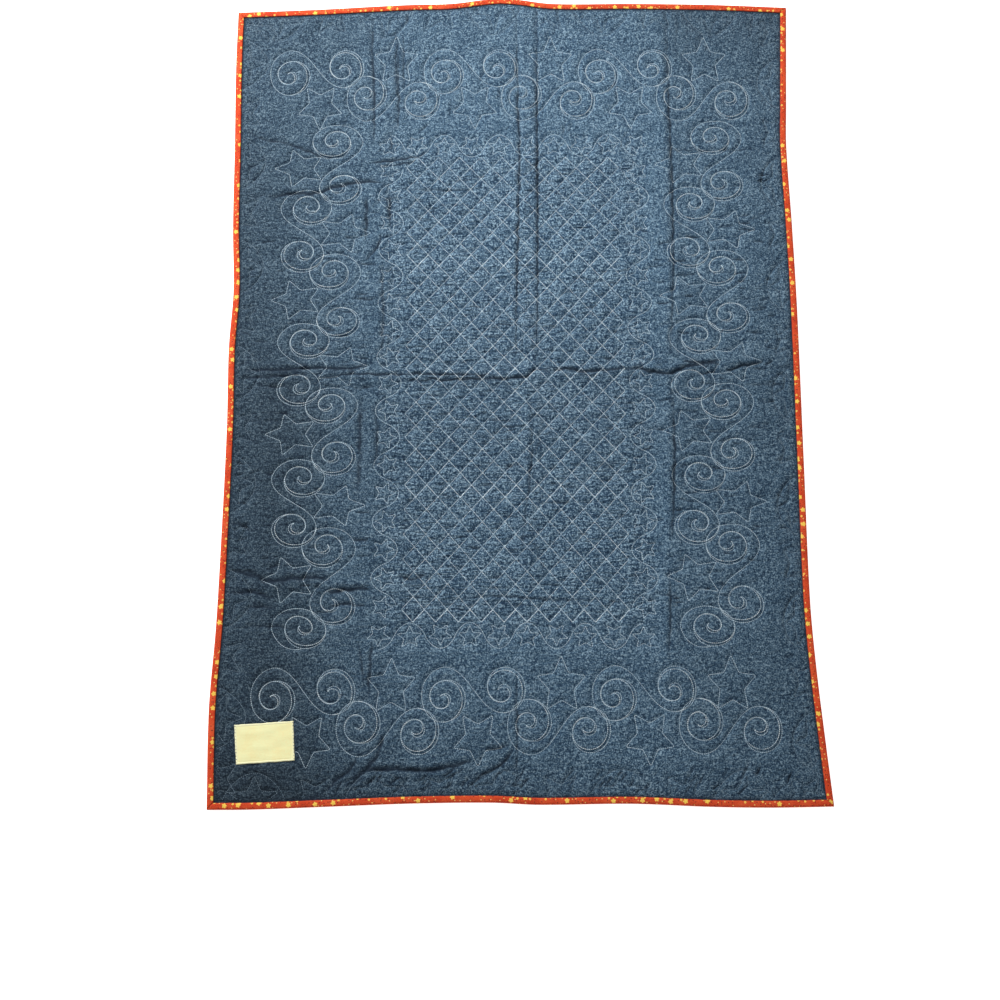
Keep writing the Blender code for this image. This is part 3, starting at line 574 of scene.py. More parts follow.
def runs(line, keeps):
    """Cuts a line into the runs of points that a test keeps."""
    run = []
    for point in [*line, None]:
        if point is not None and keeps(point):
            run.append(point)
            continue
        if len(run) > 1:
            yield run
        run = []


def curve_through(points, steps=8):
    """A smooth line through a few points."""
    result = []
    for i in range(len(points) - 1):
        corners = list(zip(*neighbours(points, i, 2), points[i], points[i + 1]))
        for k in range(steps):
            t = k / steps
            point = []
            for before, after, a, b in corners:
                square = (2 * before - 5 * a + 4 * b - after) * t * t
                cube = (3 * a - before - 3 * b + after) * t**3
                point.append(0.5 * (2 * a + (b - before) * t + square + cube))
            result.append(tuple(point))
    result.append(tuple(points[-1]))
    return result


def frame_of(start, direction):
    """A function from (along, up) in a repeat to the cut rectangle, for a run in some direction."""
    across = (-direction[1], direction[0])

    def to_rectangle(along, up):
        return tuple(start[n] + along * direction[n] + up * across[n] for n in (0, 1))

    return to_rectangle


def star_line(half_along, half_up, notch=STAR_NOTCH):
    """A closed outline of a five-pointed star about (0, 0), with slightly rounded tips."""
    corners = []
    for i in range(10):
        angle = math.pi / 2 + i * math.pi / 5
        reach = notch if i % 2 else 1.0
        corners.append((half_along * reach * math.cos(angle), half_up * reach * math.sin(angle)))
    line = []
    for i, corner in enumerate(corners):
        before, after = corners[i - 1], corners[(i + 1) % len(corners)]
        share = NOTCH_ROUNDING if i % 2 else TIP_ROUNDING
        tip = tuple(corner[n] + (after[n] + before[n] - 2 * corner[n]) * share / 3 for n in (0, 1))
        line += [between(corner, before, share), tip, between(corner, after, share)]
    return line + line[:1]


def about(heart, reach, angle, flip):
    return heart[0] + reach * math.cos(angle), heart[1] + flip * reach * math.sin(angle)


def swirl_line(heart, kind, flip, start_angle, beside=False):
    """From a swirl's outer end to its heart, or the way back beside it."""
    reach_table = SWIRL_REACH[kind]
    points = []
    for i in range(reach_table[-1][0] * STEPS_A_QUARTER + 1):
        quarters = i / STEPS_A_QUARTER
        reach = table_value(reach_table, quarters)
        if beside:
            reach += table_value(reach_table, quarters, 2)
        points.append(about(heart, reach, start_angle + quarters * math.pi / 2, flip))
    return points


def lone_end(heart, flip, start_angle):
    """How a swirl's outer end runs on where no second swirl follows."""
    points = []
    for i in range(1, STEPS_A_QUARTER + 1):
        quarters = i / STEPS_A_QUARTER
        reach = table_value(LONE_END, quarters)
        points.append(about(heart, reach, start_angle - quarters * math.pi / 2, flip))
    return points


def bend(start, end):
    """The S-shaped line between two swirls, level at both ends."""
    points = []
    for i in range(1, BEND_STEPS):
        t = i / BEND_STEPS
        level_start = start[0] + SWIRL_BEND
        level_end = end[0] - SWIRL_BEND
        along = (
            (1 - t) ** 3 * start[0]
            + 3 * (1 - t) ** 2 * t * level_start
            + 3 * (1 - t) * t**2 * level_end
            + t**3 * end[0]
        )
        up = start[1] + (end[1] - start[1]) * (3 * t**2 - 2 * t**3)
        points.append((along, up))
    return points


def drifted(point, distance_along, drift):
    """Moves a point by what its row of the pattern has moved."""
    return tuple(point[n] + table_value(drift, distance_along, n + 1) for n in (0, 1))


def border_lines():
    """Yields (kind, line) for the swirls and stars of all four borders."""
    for (start, direction, repeats, pitch, last_count, star_heights), drift in zip(BORDERS, BORDER_DRIFT):
        squeeze = SIDE_SQUEEZE if direction[1] else 1.0
        to_rectangle = frame_of(start, direction)
        for repeat in range(repeats):
            shift = repeat * pitch
            count = last_count if repeat == repeats - 1 else len(SWIRLS)

            def laid(points, to_rectangle=to_rectangle, shift=shift, squeeze=squeeze, drift=drift):
                rows = [(shift + along * squeeze, up) for along, up in points]
                return [drifted(to_rectangle(along, up), along, drift) for along, up in rows]

            for index in range(0, count, 2):
                flip = 1 if index == 0 else -1
                along, up, kind = SWIRLS[index]
                turn = ((along, up), kind, flip, math.pi / 2)
                yield "swirl back", laid(swirl_line(*turn, beside=True)[2 * STEPS_A_QUARTER :])
                line = swirl_line(*turn)[::-1]
                if index + 1 < count:
                    along, up, kind = SWIRLS[index + 1]
                    turn = ((along, up), kind, flip, -math.pi / 2)
                    inward = swirl_line(*turn)
                    line += bend(line[-1], inward[0]) + inward
                    yield "swirl back", laid(swirl_line(*turn, beside=True))
                else:
                    line += lone_end((along, up), flip, math.pi / 2)
                yield "swirl", laid(line)
            for up, (along, half_along, half_up) in zip(star_heights, BORDER_STARS):
                if count < len(SWIRLS) and half_up > 0:
                    continue
                line = star_line(half_along, half_up, BORDER_STAR_NOTCH)
                yield "star", laid([(along + a, up + b) for a, b in line])


def chain_lines():
    """Yields (kind, line) for the star chain round the diamonds and the wave between its stars."""
    for (start, direction, count, pitch, upright), drift in zip(STAR_CHAINS, CHAIN_DRIFT):
        to_rectangle = frame_of(start, direction)
        for i in range(count):
            facing = 1 if (i % 2 == 0) == upright else -1
            line = star_line(CHAIN_STAR[0], CHAIN_STAR[1] * facing)
            set_back = -facing * CHAIN_STAR_SET_BACK
            yield "star", [
                drifted(to_rectangle(i * pitch + a, set_back + b), i * pitch + a, drift) for a, b in line
            ]
        first = 1 if upright else -1
        wave = []
        for i in range((count - 1) * WAVE_STEPS + 1):
            part = i / WAVE_STEPS
            swing = math.cos(math.pi * part)
            swing = math.copysign(abs(swing) ** WAVE_ROUNDNESS, swing)
            crest = to_rectangle(part * pitch, first * CHAIN_WAVE * swing)
            wave.append(drifted(crest, part * pitch, drift))
        yield "star", wave


def clears_binding(row):
    """Whether a (side, along, inset) row of the edge chain lies inside the binding."""
    side, along, inset = row
    return inset > EDGE_CHAIN_CLEAR and EDGE_CHAIN_CLEAR < along < SIDES[side][0] - EDGE_CHAIN_CLEAR


def edge_chain_lines():
    """The large arches and stars along the edge, whose outer half is lost under the binding."""
    for side, first, pitch in EDGE_CHAINS:
        length = SIDES[side][0]
        for number in range(-1, math.ceil(length / pitch) + 1):
            centre = first + number * pitch
            arch = []
            for i in range(2 * WAVE_STEPS + 1):
                part = i / WAVE_STEPS - 1
                inset = EDGE_CHAIN_INSET + EDGE_CHAIN_WAVE * math.cos(math.pi / 2 * part) ** WAVE_ROUNDNESS
                arch.append((side, centre + part * pitch / 4, inset))
            outlines = [arch]
            for along, facing in ((centre, 1), (centre + pitch / 2, -1)):
                star = resample(star_line(EDGE_STAR[0], EDGE_STAR[1] * facing), LINE_STEP)
                outlines.append([(side, along + a, EDGE_CHAIN_INSET + b) for a, b in star])
            for outline in outlines:
                for run in runs(outline, clears_binding):
                    yield "edge", [side_point(*row) for row in run]


def diamond_point(i, j):
    """Point i half widths across and j half heights up from the diamonds' lower left corner."""
    along = (i - DIAMONDS_ACROSS) * DIAMOND_WIDTH / 2
    up = DIAMOND_CENTRE[1] + (j - DIAMONDS_UP) * DIAMOND_HEIGHT / 2
    shift = table_value(DIAMOND_DRIFT, up)
    lift = table_value(DIAMOND_DRIFT, up, 2)
    return DIAMOND_CENTRE[0] + along + shift, up + lift + along * DIAMOND_TILT


def diamond_edges():
    """Each edge of each diamond, from one crossing of the stitched lines to the next."""
    for i in range(2 * DIAMONDS_ACROSS):
        for j in range(2 * DIAMONDS_UP):
            if (i + j) % 2:
                ends = diamond_point(i, j), diamond_point(i + 1, j + 1)
            else:
                ends = diamond_point(i + 1, j), diamond_point(i, j + 1)
            yield "diamond", list(ends)
            if j in MEETING_ROWS:
                yield "diamond again", [(u + SECOND_PASS[0], v + SECOND_PASS[1]) for u, v in ends]


def under_label(point, margin):
    offset = Vector((point[0] - LABEL_CENTRE[0], point[1] - LABEL_CENTRE[1]))
    turned = Matrix.Rotation(-LABEL_TURN, 2) @ offset
    return abs(turned.x) < LABEL_WIDTH / 2 + margin and abs(turned.y) < LABEL_HEIGHT / 2 + margin


def edge_distance(point):
    return min(WIDTH / 2 - abs(point[0]), HEIGHT / 2 - abs(point[1]))


def shows(point):
    """Whether a stitch at a point misses the binding and the label."""
    return edge_distance(point) > RIM_END + STITCH_CLEAR and not under_label(point, 0.0)


def wandering(points, size, seed):
    """Moves the points of a line a little from side to side, slowly along it."""
    moved = []
    for i, point in enumerate(points):
        before, after = neighbours(points, i)
        along = math.atan2(after[1] - before[1], after[0] - before[0])
        push = size * noise.noise(Vector((point[0] * WANDER_SCALE, point[1] * WANDER_SCALE, seed)))
        moved.append((point[0] - math.sin(along) * push, point[1] + math.cos(along) * push))
    return moved


def all_creases():
    """Each crease and pucker: (depth, half width, lip, line), in metres."""
    result = []
    for seed, (depth, half_width, lip, bends) in enumerate(CREASES):
        line = curve_through([(u * MM, v * MM + CREASE_SHIFT) for u, v in bends])
        line = wandering(resample(line, CREASE_STEP), CREASE_WANDER, seed)
        result.append((depth * MM, half_width * CREASE_SPREAD * MM, lip * MM, line))
    for number, low, high, turn, depth in PUCKERS:
        for _ in range(number):
            u, v = random.uniform(low[0], high[0]), random.uniform(low[1], high[1])
            lean = turn * random.uniform(0.6, 1.1) if turn > 45 else random.gauss(0, turn)
            angle = math.radians(lean)
            half = random.uniform(0.006, 0.019)
            sag = random.uniform(-0.0025, 0.0025)
            line = []
            for k in range(-4, 5):
                along, up = half * k / 4, sag * (1 - (k / 4) ** 2)
                across = along * math.cos(angle) - up * math.sin(angle)
                line.append((u + across, v + along * math.sin(angle) + up * math.cos(angle)))
            deep = depth * MM * random.uniform(0.6, 1.3)
            result.append((deep, PUCKER_HALF_WIDTH, PUCKER_LIP, resample(line, CREASE_STEP)))
    return result


class SpacedPoints:
    """Points on the cut rectangle, none closer together than asked."""

    def __init__(self):
        self.points = []
        self.cells = {}

    def add(self, point, spacing):
        i, j = math.floor(point[0] / CELL), math.floor(point[1] / CELL)
        for near_i in (i - 1, i, i + 1):
            for near_j in (j - 1, j, j + 1):
                for other in self.cells.get((near_i, near_j), ()):
                    if distance(point, other) < spacing:
                        return
        self.cells.setdefault((i, j), []).append(point)
        self.points.append(point)

    def add_inside(self, points, spacing):
        """Adds the points that lie well inside the rim."""
        for point in points:
            if edge_distance(point) > RIM_END + INSIDE_CLEAR:
                self.add(point, spacing)


def rows_beside(line, offset):
    """The points of a line, moved to both sides by an offset."""
    rows = []
    for i, point in enumerate(line):
        before, after = neighbours(line, i)
        length = distance(before, after)
        if length < 1e-6:
            continue
        nx, ny = -(after[1] - before[1]) / length * offset, (after[0] - before[0]) / length * offset
        rows += [(point[0] + nx, point[1] + ny), (point[0] - nx, point[1] - ny)]
    return rows


def distance_to_line(points, line):
    """For each point, its distance from a line and the part of the line's length passed there."""
    line = np.array(line)
    legs = line[1:] - line[:-1]
    lengths = np.hypot(legs[:, 0], legs[:, 1])
    done = np.concatenate([[0.0], np.cumsum(lengths)])
    away = np.full(len(points), np.inf)
    passed = np.zeros(len(points))
    for start, leg, length, before in zip(line, legs, lengths, done):
        offset = points - start
        part = np.clip(offset @ leg / length**2, 0, 1)
        gap = offset - part[:, None] * leg
        here = np.hypot(gap[:, 0], gap[:, 1])
        closer = here < away
        away[closer] = here[closer]
        passed[closer] = (before + part[closer] * length) / done[-1]
    return away, passed


def soft_noise(points, size, seed):
    """Smooth unevenness from -1 to 1, with bumps of about the given size."""
    return np.array([noise.noise(Vector((p[0] / size, p[1] / size, seed))) for p in points])


def upper_heights(points, sewn_lines, creases):
    """Height of the backing at each point, with puffs, swells and creases, and how much painted shade each
    point gets in creases, along the rim and round the label.
    """
    samples = [point for line in sewn_lines for point in resample(line, SAMPLE_STEP)]
    tree = KDTree(len(samples))
    for index, point in enumerate(samples):
        tree.insert((point[0], point[1], 0.0), index)
    tree.balance()
    gaps = np.array([tree.find((p[0], p[1], 0.0))[2] for p in points])
    flat = np.array(points)
    uneven = soft_noise(points, UNEVEN_SIZE, 3.0)
    fine = soft_noise(points, FINE_SIZE, 9.0)
    puff = PUFF * (1 - np.exp(-gaps / PUFF_REACH)) * (1 + PUFF_UNEVENNESS * uneven)
    puff += FINE_HEIGHT * fine * (1 - np.exp(-gaps / FINE_REACH))
    heights = STITCHED_THICKNESS + puff + UNEVEN_HEIGHT * (uneven + 0.5)
    swell = np.zeros(len(points))
    for height, half_width, bends in SWELLS:
        away, passed = distance_to_line(flat, curve_through([(u * MM, v * MM) for u, v in bends]))
        fade = np.clip(8 * np.minimum(passed, 1 - passed), 0, 1)
        swell = np.maximum(swell, height * MM * fade * np.exp(-((away / (half_width * MM)) ** 2)))
    heights += swell
    trough = np.zeros(len(points))
    lips = np.zeros(len(points))
    broken = np.clip(1.0 + BROKEN_SHARE * soft_noise(points, BROKEN_SIZE, 4.0), 0.55, 1.3)
    for depth, half_width, lip, line in creases:
        corner = np.array(line)
        reach = 5 * half_width
        near = np.all((flat > corner.min(0) - reach) & (flat < corner.max(0) + reach), axis=1)
        if not near.any():
            continue
        away, passed = distance_to_line(flat[near], line)
        fade = np.clip(4 * passed * (1 - passed), 0, 1) ** 0.5 * broken[near]
        trough[near] = np.maximum(trough[near], depth * fade * np.exp(-((away / half_width) ** 2)))
        beside = np.exp(-((away / (LIP_REACH * half_width) - 0.9) ** 2) * 3)
        lips[near] = np.maximum(lips[near], lip * fade * beside)
    heights += lips - trough
    edges = np.array([edge_distance(p) for p in points])
    inner = np.clip((edges - RIM_END) / RIM_RISE, 0, 1)
    inner = inner * inner * (3 - 2 * inner)
    heights = (RIM_TOP - RIM_STEP) * (1 - inner) + heights * inner
    seated = np.array([under_label(p, LABEL_MARGIN) for p in points])
    heights[seated] = LABEL_SEAT
    # Painted shade: the share of dark painted into deep creases, into a thin band along the rim inside the
    # binding and round the label
    painted_shade_share = np.clip(trough / DEEPEST_CREASE, 0, 1) * inner * ~seated
    painted_shade_share = np.maximum(painted_shade_share, RIM_SHADE * (edges < RIM_END + RIM_SHADE_WIDTH))
    painted_shade_share = np.maximum(painted_shade_share, LABEL_SHADE * seated)
    return np.maximum(heights, LEAST_HEIGHT), painted_shade_share


def triangulate(points, boundary):
    """Triangles that fill a closed boundary and use the points inside it."""
    flat = [Vector(point) for point in points]
    verts, _, faces, origins, _, _ = delaunay_2d_cdt(flat, [], [boundary], 1, 1e-7, True)
    index_of = {original: new for new, group in enumerate(origins) for original in group}
    return [tuple(vert) for vert in verts], [tuple(face) for face in faces], index_of


def add_object(name, data):
    obj = bpy.data.objects.new(name, data)
    bpy.context.scene.collection.objects.link(obj)
    return obj


def mesh_object(name, vertices, faces, materials):
    mesh = bpy.data.meshes.new(name)
    mesh.from_pydata([tuple(v) for v in vertices], [], faces)
    for material in materials:
        mesh.materials.append(material)
    mesh.polygons.foreach_set("use_smooth", [True] * len(mesh.polygons))
    mesh.update()
    return add_object(name, mesh)


def face_outward(obj):
    """Turns all faces of a closed mesh outward."""
    mesh_data = bmesh.new()
    mesh_data.from_mesh(obj.data)
    bmesh.ops.recalc_face_normals(mesh_data, faces=mesh_data.faces)
    mesh_data.to_mesh(obj.data)
    mesh_data.free()


def build_backing(sewn_lines, creases, materials):
    """The quilted sheet: relief above, a flat front below, and a thin rim inside the binding."""
    spaced = SpacedPoints()
    rim = loop(RIM_END, RIM_FINER)
    for point in rim:
        spaced.add(point, 0.0)
    for line in sewn_lines:
        spaced.add_inside(resample(line, LINE_STEP), SEAM_SPACING)
    for _, half_width, _, line in creases:
        spaced.add_inside(line, CREASE_SPACING)
        spaced.add_inside(rows_beside(line, half_width * 1.1), CREASE_SIDE_SPACING)
    for line in sewn_lines:
        spaced.add_inside(rows_beside(resample(line, LINE_STEP), ROW_OFFSET), SEAM_SIDE_SPACING)
    rows = round(HEIGHT / (FILL_STEP * math.sqrt(3) / 2))
    columns = round(WIDTH / FILL_STEP)
    for row in range(1, rows):
        for column in range(1, columns):
            u = -WIDTH / 2 + (column + row % 2 / 2) * WIDTH / columns
            v = -HEIGHT / 2 + row * HEIGHT / rows
            spaced.add_inside([(u, v)], FILL_SPACING)
    flat, faces, index_of = triangulate(spaced.points, list(range(len(rim))))
    heights, painted_shade_share = upper_heights(flat, sewn_lines, creases)
    vertices = [place(*point, z) for point, z in zip(flat, heights)]
    inner_top = [index_of[i] for i in range(len(rim))]

    def ring(inset, z):
        start = len(vertices)
        vertices.extend(place(*point, z) for point in loop(inset, RIM_FINER))
        return list(range(start, len(vertices)))

    def band(lower, upper):
        for i in range(len(lower)):
            after = (i + 1) % len(lower)
            faces.append((lower[i], lower[after], upper[after], upper[i]))

    outer_top = ring(RIM_INSET, RIM_TOP)
    outer_bottom = ring(RIM_INSET, RIM_BOTTOM)
    inner_bottom = ring(RIM_END, RIM_BOTTOM)
    band(outer_top, inner_top)
    band(outer_bottom, outer_top)
    band(inner_bottom, outer_bottom)
    under = loop(FLAT_START, RIM_FINER)
    boundary = list(range(len(under)))
    for row in range(1, UNDER_ROWS):
        for column in range(1, UNDER_COLUMNS):
            under.append((WIDTH * (column / UNDER_COLUMNS - 0.5), HEIGHT * (row / UNDER_ROWS - 0.5)))
    flat_under, triangles_under, index_under = triangulate(under, boundary)
    start = len(vertices)
    vertices.extend(place(*point, 0.0) for point in flat_under)
    upper_faces = len(faces)
    faces.extend(tuple(start + i for i in reversed(triangle)) for triangle in triangles_under)
    band([start + index_under[i] for i in boundary], inner_bottom)
    obj = mesh_object("quilt_backing", vertices, faces, materials)
    material_of = [0] * upper_faces + [1] * (len(faces) - upper_faces)
    obj.data.polygons.foreach_set("material_index", material_of)
    # Painted shade for the denim's colour, kept on the points
    painted_shade = obj.data.attributes.new("painted_shade", "FLOAT", "POINT")
    painted_shade.data.foreach_set("value", [*painted_shade_share, *[0.0] * (len(vertices) - len(painted_shade_share))])
    face_outward(obj)
    return obj


def build_stitches(name, lines, width, surfaces, material):
    """Single stitches along lines, each a small spindle that dips into the cloth at both ends."""
    starts, ends = [], []
    for line in lines:
        points = resample(line, STITCH_PITCH)
        for a, b in zip(points, points[1:]):
            share = STITCH_LENGTH / STITCH_PITCH * random.uniform(0.90, 1.04)
            margin = (1 - share) / 2
            starts.append(between(a, b, margin))
            ends.append(between(b, a, margin))

    def on_cloth(point):
        x, y, _ = place(*point, 0.0)
        for surface in surfaces:
            hit = surface.ray_cast(Vector((x, y, 0.05)), Vector((0, 0, -1)))[0]
            if hit:
                return x, y, hit.z - STITCH_SINK
        return x, y, STITCHED_THICKNESS - STITCH_SINK

    first = np.array([on_cloth(point) for point in starts])
    last = np.array([on_cloth(point) for point in ends])
    along = last - first
    across = np.stack([-along[:, 1], along[:, 0], np.zeros(len(along))], axis=1)
    across /= np.linalg.norm(across, axis=1)[:, None]
    up = np.array([0.0, 0.0, 1.0])
    half = width / 2
    count = len(first)
    corners = np.zeros((count, 10, 3))
    corners[:, 0] = first
    corners[:, 9] = last
    for ring, part in enumerate((0.27, 0.73)):
        middle = first + along * part + up * STITCH_RISE
        corners[:, 1 + ring * 4] = middle + across * half
        corners[:, 2 + ring * 4] = middle + up * half * 0.9
        corners[:, 3 + ring * 4] = middle - across * half
        corners[:, 4 + ring * 4] = middle - up * half * 0.5
    pattern = []
    for k in range(4):
        n = (k + 1) % 4
        pattern.append((0, 1 + n, 1 + k))
        pattern.append((9, 5 + k, 5 + n))
        pattern.append((1 + k, 1 + n, 5 + n))
        pattern.append((1 + k, 5 + n, 5 + k))
    faces = (np.arange(count)[:, None, None] * 10 + np.array(pattern)[None]).reshape(-1, 3)
    return mesh_object(name, corners.reshape(-1, 3), faces.tolist(), [material])


def build_binding(side, material):
    """One strip of binding cloth, folded over the edge, cut at 45 degrees at both ends."""
    length = SIDES[side][0]
    count = round(length / BINDING_STEP)
    seed = 10.0 * list(SIDES).index(side)
    vertices, faces, uvs = [], [], []
    section = len(BINDING_SECTION)
    for i in range(count + 1):
        for layer in (0.0, BINDING_WALL):
            for inset, height, around in BINDING_SECTION:
                inner_inset = inset + (layer if inset < FOLD_INSET else 0.0)
                inner_height = height - layer if height > FOLD_HEIGHT else max(height, layer)
                cut = inset + MITRE_GAP
                along = cut + (length - 2 * cut) * i / count
                wave = noise.noise(Vector((along * BINDING_WAVE_SCALE, seed, 0.3)))
                pull = noise.noise(Vector((along * BINDING_PULL_SCALE, seed, 5.1)))
                top_share = max(0.0, 1 - abs(around - 0.2) / 0.22)
                edge_share = max(0.0, 1 - around / 0.12)
                z = inner_height + (BINDING_WAVE * wave + BINDING_PULL * pull) * top_share
                point = side_point(side, along, inner_inset + BINDING_SWAY * pull * edge_share)
                vertices.append(place(point[0], point[1], max(z, 0.0)))
                uvs.append((along + seed, around * CLOTH_AROUND))

    def index(i, layer, k):
        return (2 * i + layer) * section + k

    for i in range(count):
        for k in range(section - 1):
            faces.append((index(i, 0, k), index(i + 1, 0, k), index(i + 1, 0, k + 1), index(i, 0, k + 1)))
            faces.append((index(i, 1, k), index(i, 1, k + 1), index(i + 1, 1, k + 1), index(i + 1, 1, k)))
        for k in (0, section - 1):
            quad = (index(i, 0, k), index(i, 1, k), index(i + 1, 1, k), index(i + 1, 0, k))
            faces.append(quad if k == 0 else quad[::-1])
    for i in (0, count):
        for k in range(section - 1):
            quad = (index(i, 0, k), index(i, 0, k + 1), index(i, 1, k + 1), index(i, 1, k))
            faces.append(quad if i == 0 else quad[::-1])
    obj = mesh_object("binding_cloth_" + side, vertices, faces, [material])
    layer = obj.data.uv_layers.new(name="cloth")
    for corner in obj.data.loops:
        layer.data[corner.index].uv = uvs[corner.vertex_index]
    face_outward(obj)
    return obj


def whip_stitches():
    """The short slanting stitches that hold the two upright sides of the label."""
    turn = Matrix.Rotation(LABEL_TURN, 2)
    count = round(LABEL_HEIGHT / WHIP_PITCH)
    lines = []
    for side in (-1, 1):
        for i in range(count):
            up = LABEL_HEIGHT * ((i + 0.5) / count - 0.5)
            inner = turn @ Vector((side * (LABEL_WIDTH / 2 - WHIP_REACH), up))
            outer = turn @ Vector((side * (LABEL_WIDTH / 2 + WHIP_OUTSIDE), up + WHIP_SLANT))
            lines.append([(LABEL_CENTRE[0] + p.x, LABEL_CENTRE[1] + p.y) for p in (inner, outer)])
    return lines


def build_label(material):
    """The label: thin cloth with its edges folded under, a little rippled."""
    across, up = LABEL_CELLS
    vertices, faces, hems = [], [], []
    turn = Matrix.Rotation(LABEL_TURN, 2)
    for layer in (0, 1):
        for j in range(up + 1):
            for i in range(across + 1):
                a, b = 2 * i / across - 1, 2 * j / up - 1
                from_side = min((1 - abs(a)) * LABEL_WIDTH / 2, (1 - abs(b)) * LABEL_HEIGHT / 2)
                pull = noise.noise(Vector((a * 5, b * 4, 7.7))) * LABEL_PULL
                pull *= max(0.0, 1 - from_side / 0.004)
                along = a * (LABEL_WIDTH / 2 + pull)
                height = b * (LABEL_HEIGHT / 2 + pull)
                point = turn @ Vector((along, height))
                wave = noise.noise(Vector((a * 1.6, b * 2.6, 2.0)))
                ripple = LABEL_RIPPLE * (1 + wave) * (1 - a * a) ** 0.5
                hem = HEM_RISE * math.exp(-(((from_side - LABEL_HEM * 0.45) / 0.0018) ** 2))
                step = -HEM_STEP * math.exp(-(((from_side - LABEL_HEM) / 0.0006) ** 2))
                edge = -LABEL_ROUNDING * math.exp(-((from_side / 0.0007) ** 2))
                z = LABEL_SEAT + GAP + ripple
                if layer:
                    z += LABEL_THICKNESS + hem + step + edge
                vertices.append(place(LABEL_CENTRE[0] + point.x, LABEL_CENTRE[1] + point.y, z))
                hems.append(smooth((LABEL_HEM - from_side) / 0.0008))
    row = across + 1
    lower = row * (up + 1)
    for j in range(up):
        for i in range(across):
            k = j * row + i
            faces.append((lower + k, lower + k + 1, lower + k + row + 1, lower + k + row))
            faces.append((k, k + row, k + row + 1, k + 1))
    around = list(range(row))
    around += [j * row + across for j in range(1, up + 1)]
    around += [up * row + i for i in range(across - 1, -1, -1)]
    around += [j * row for j in range(up - 1, 0, -1)]
    for a, b in zip(around, around[1:] + around[:1]):
        faces.append((a, b, lower + b, lower + a))
    obj = mesh_object("label_cloth", vertices, faces, [material])
    obj.data.attributes.new("hem", "FLOAT", "POINT").data.foreach_set("value", hems)
    return obj


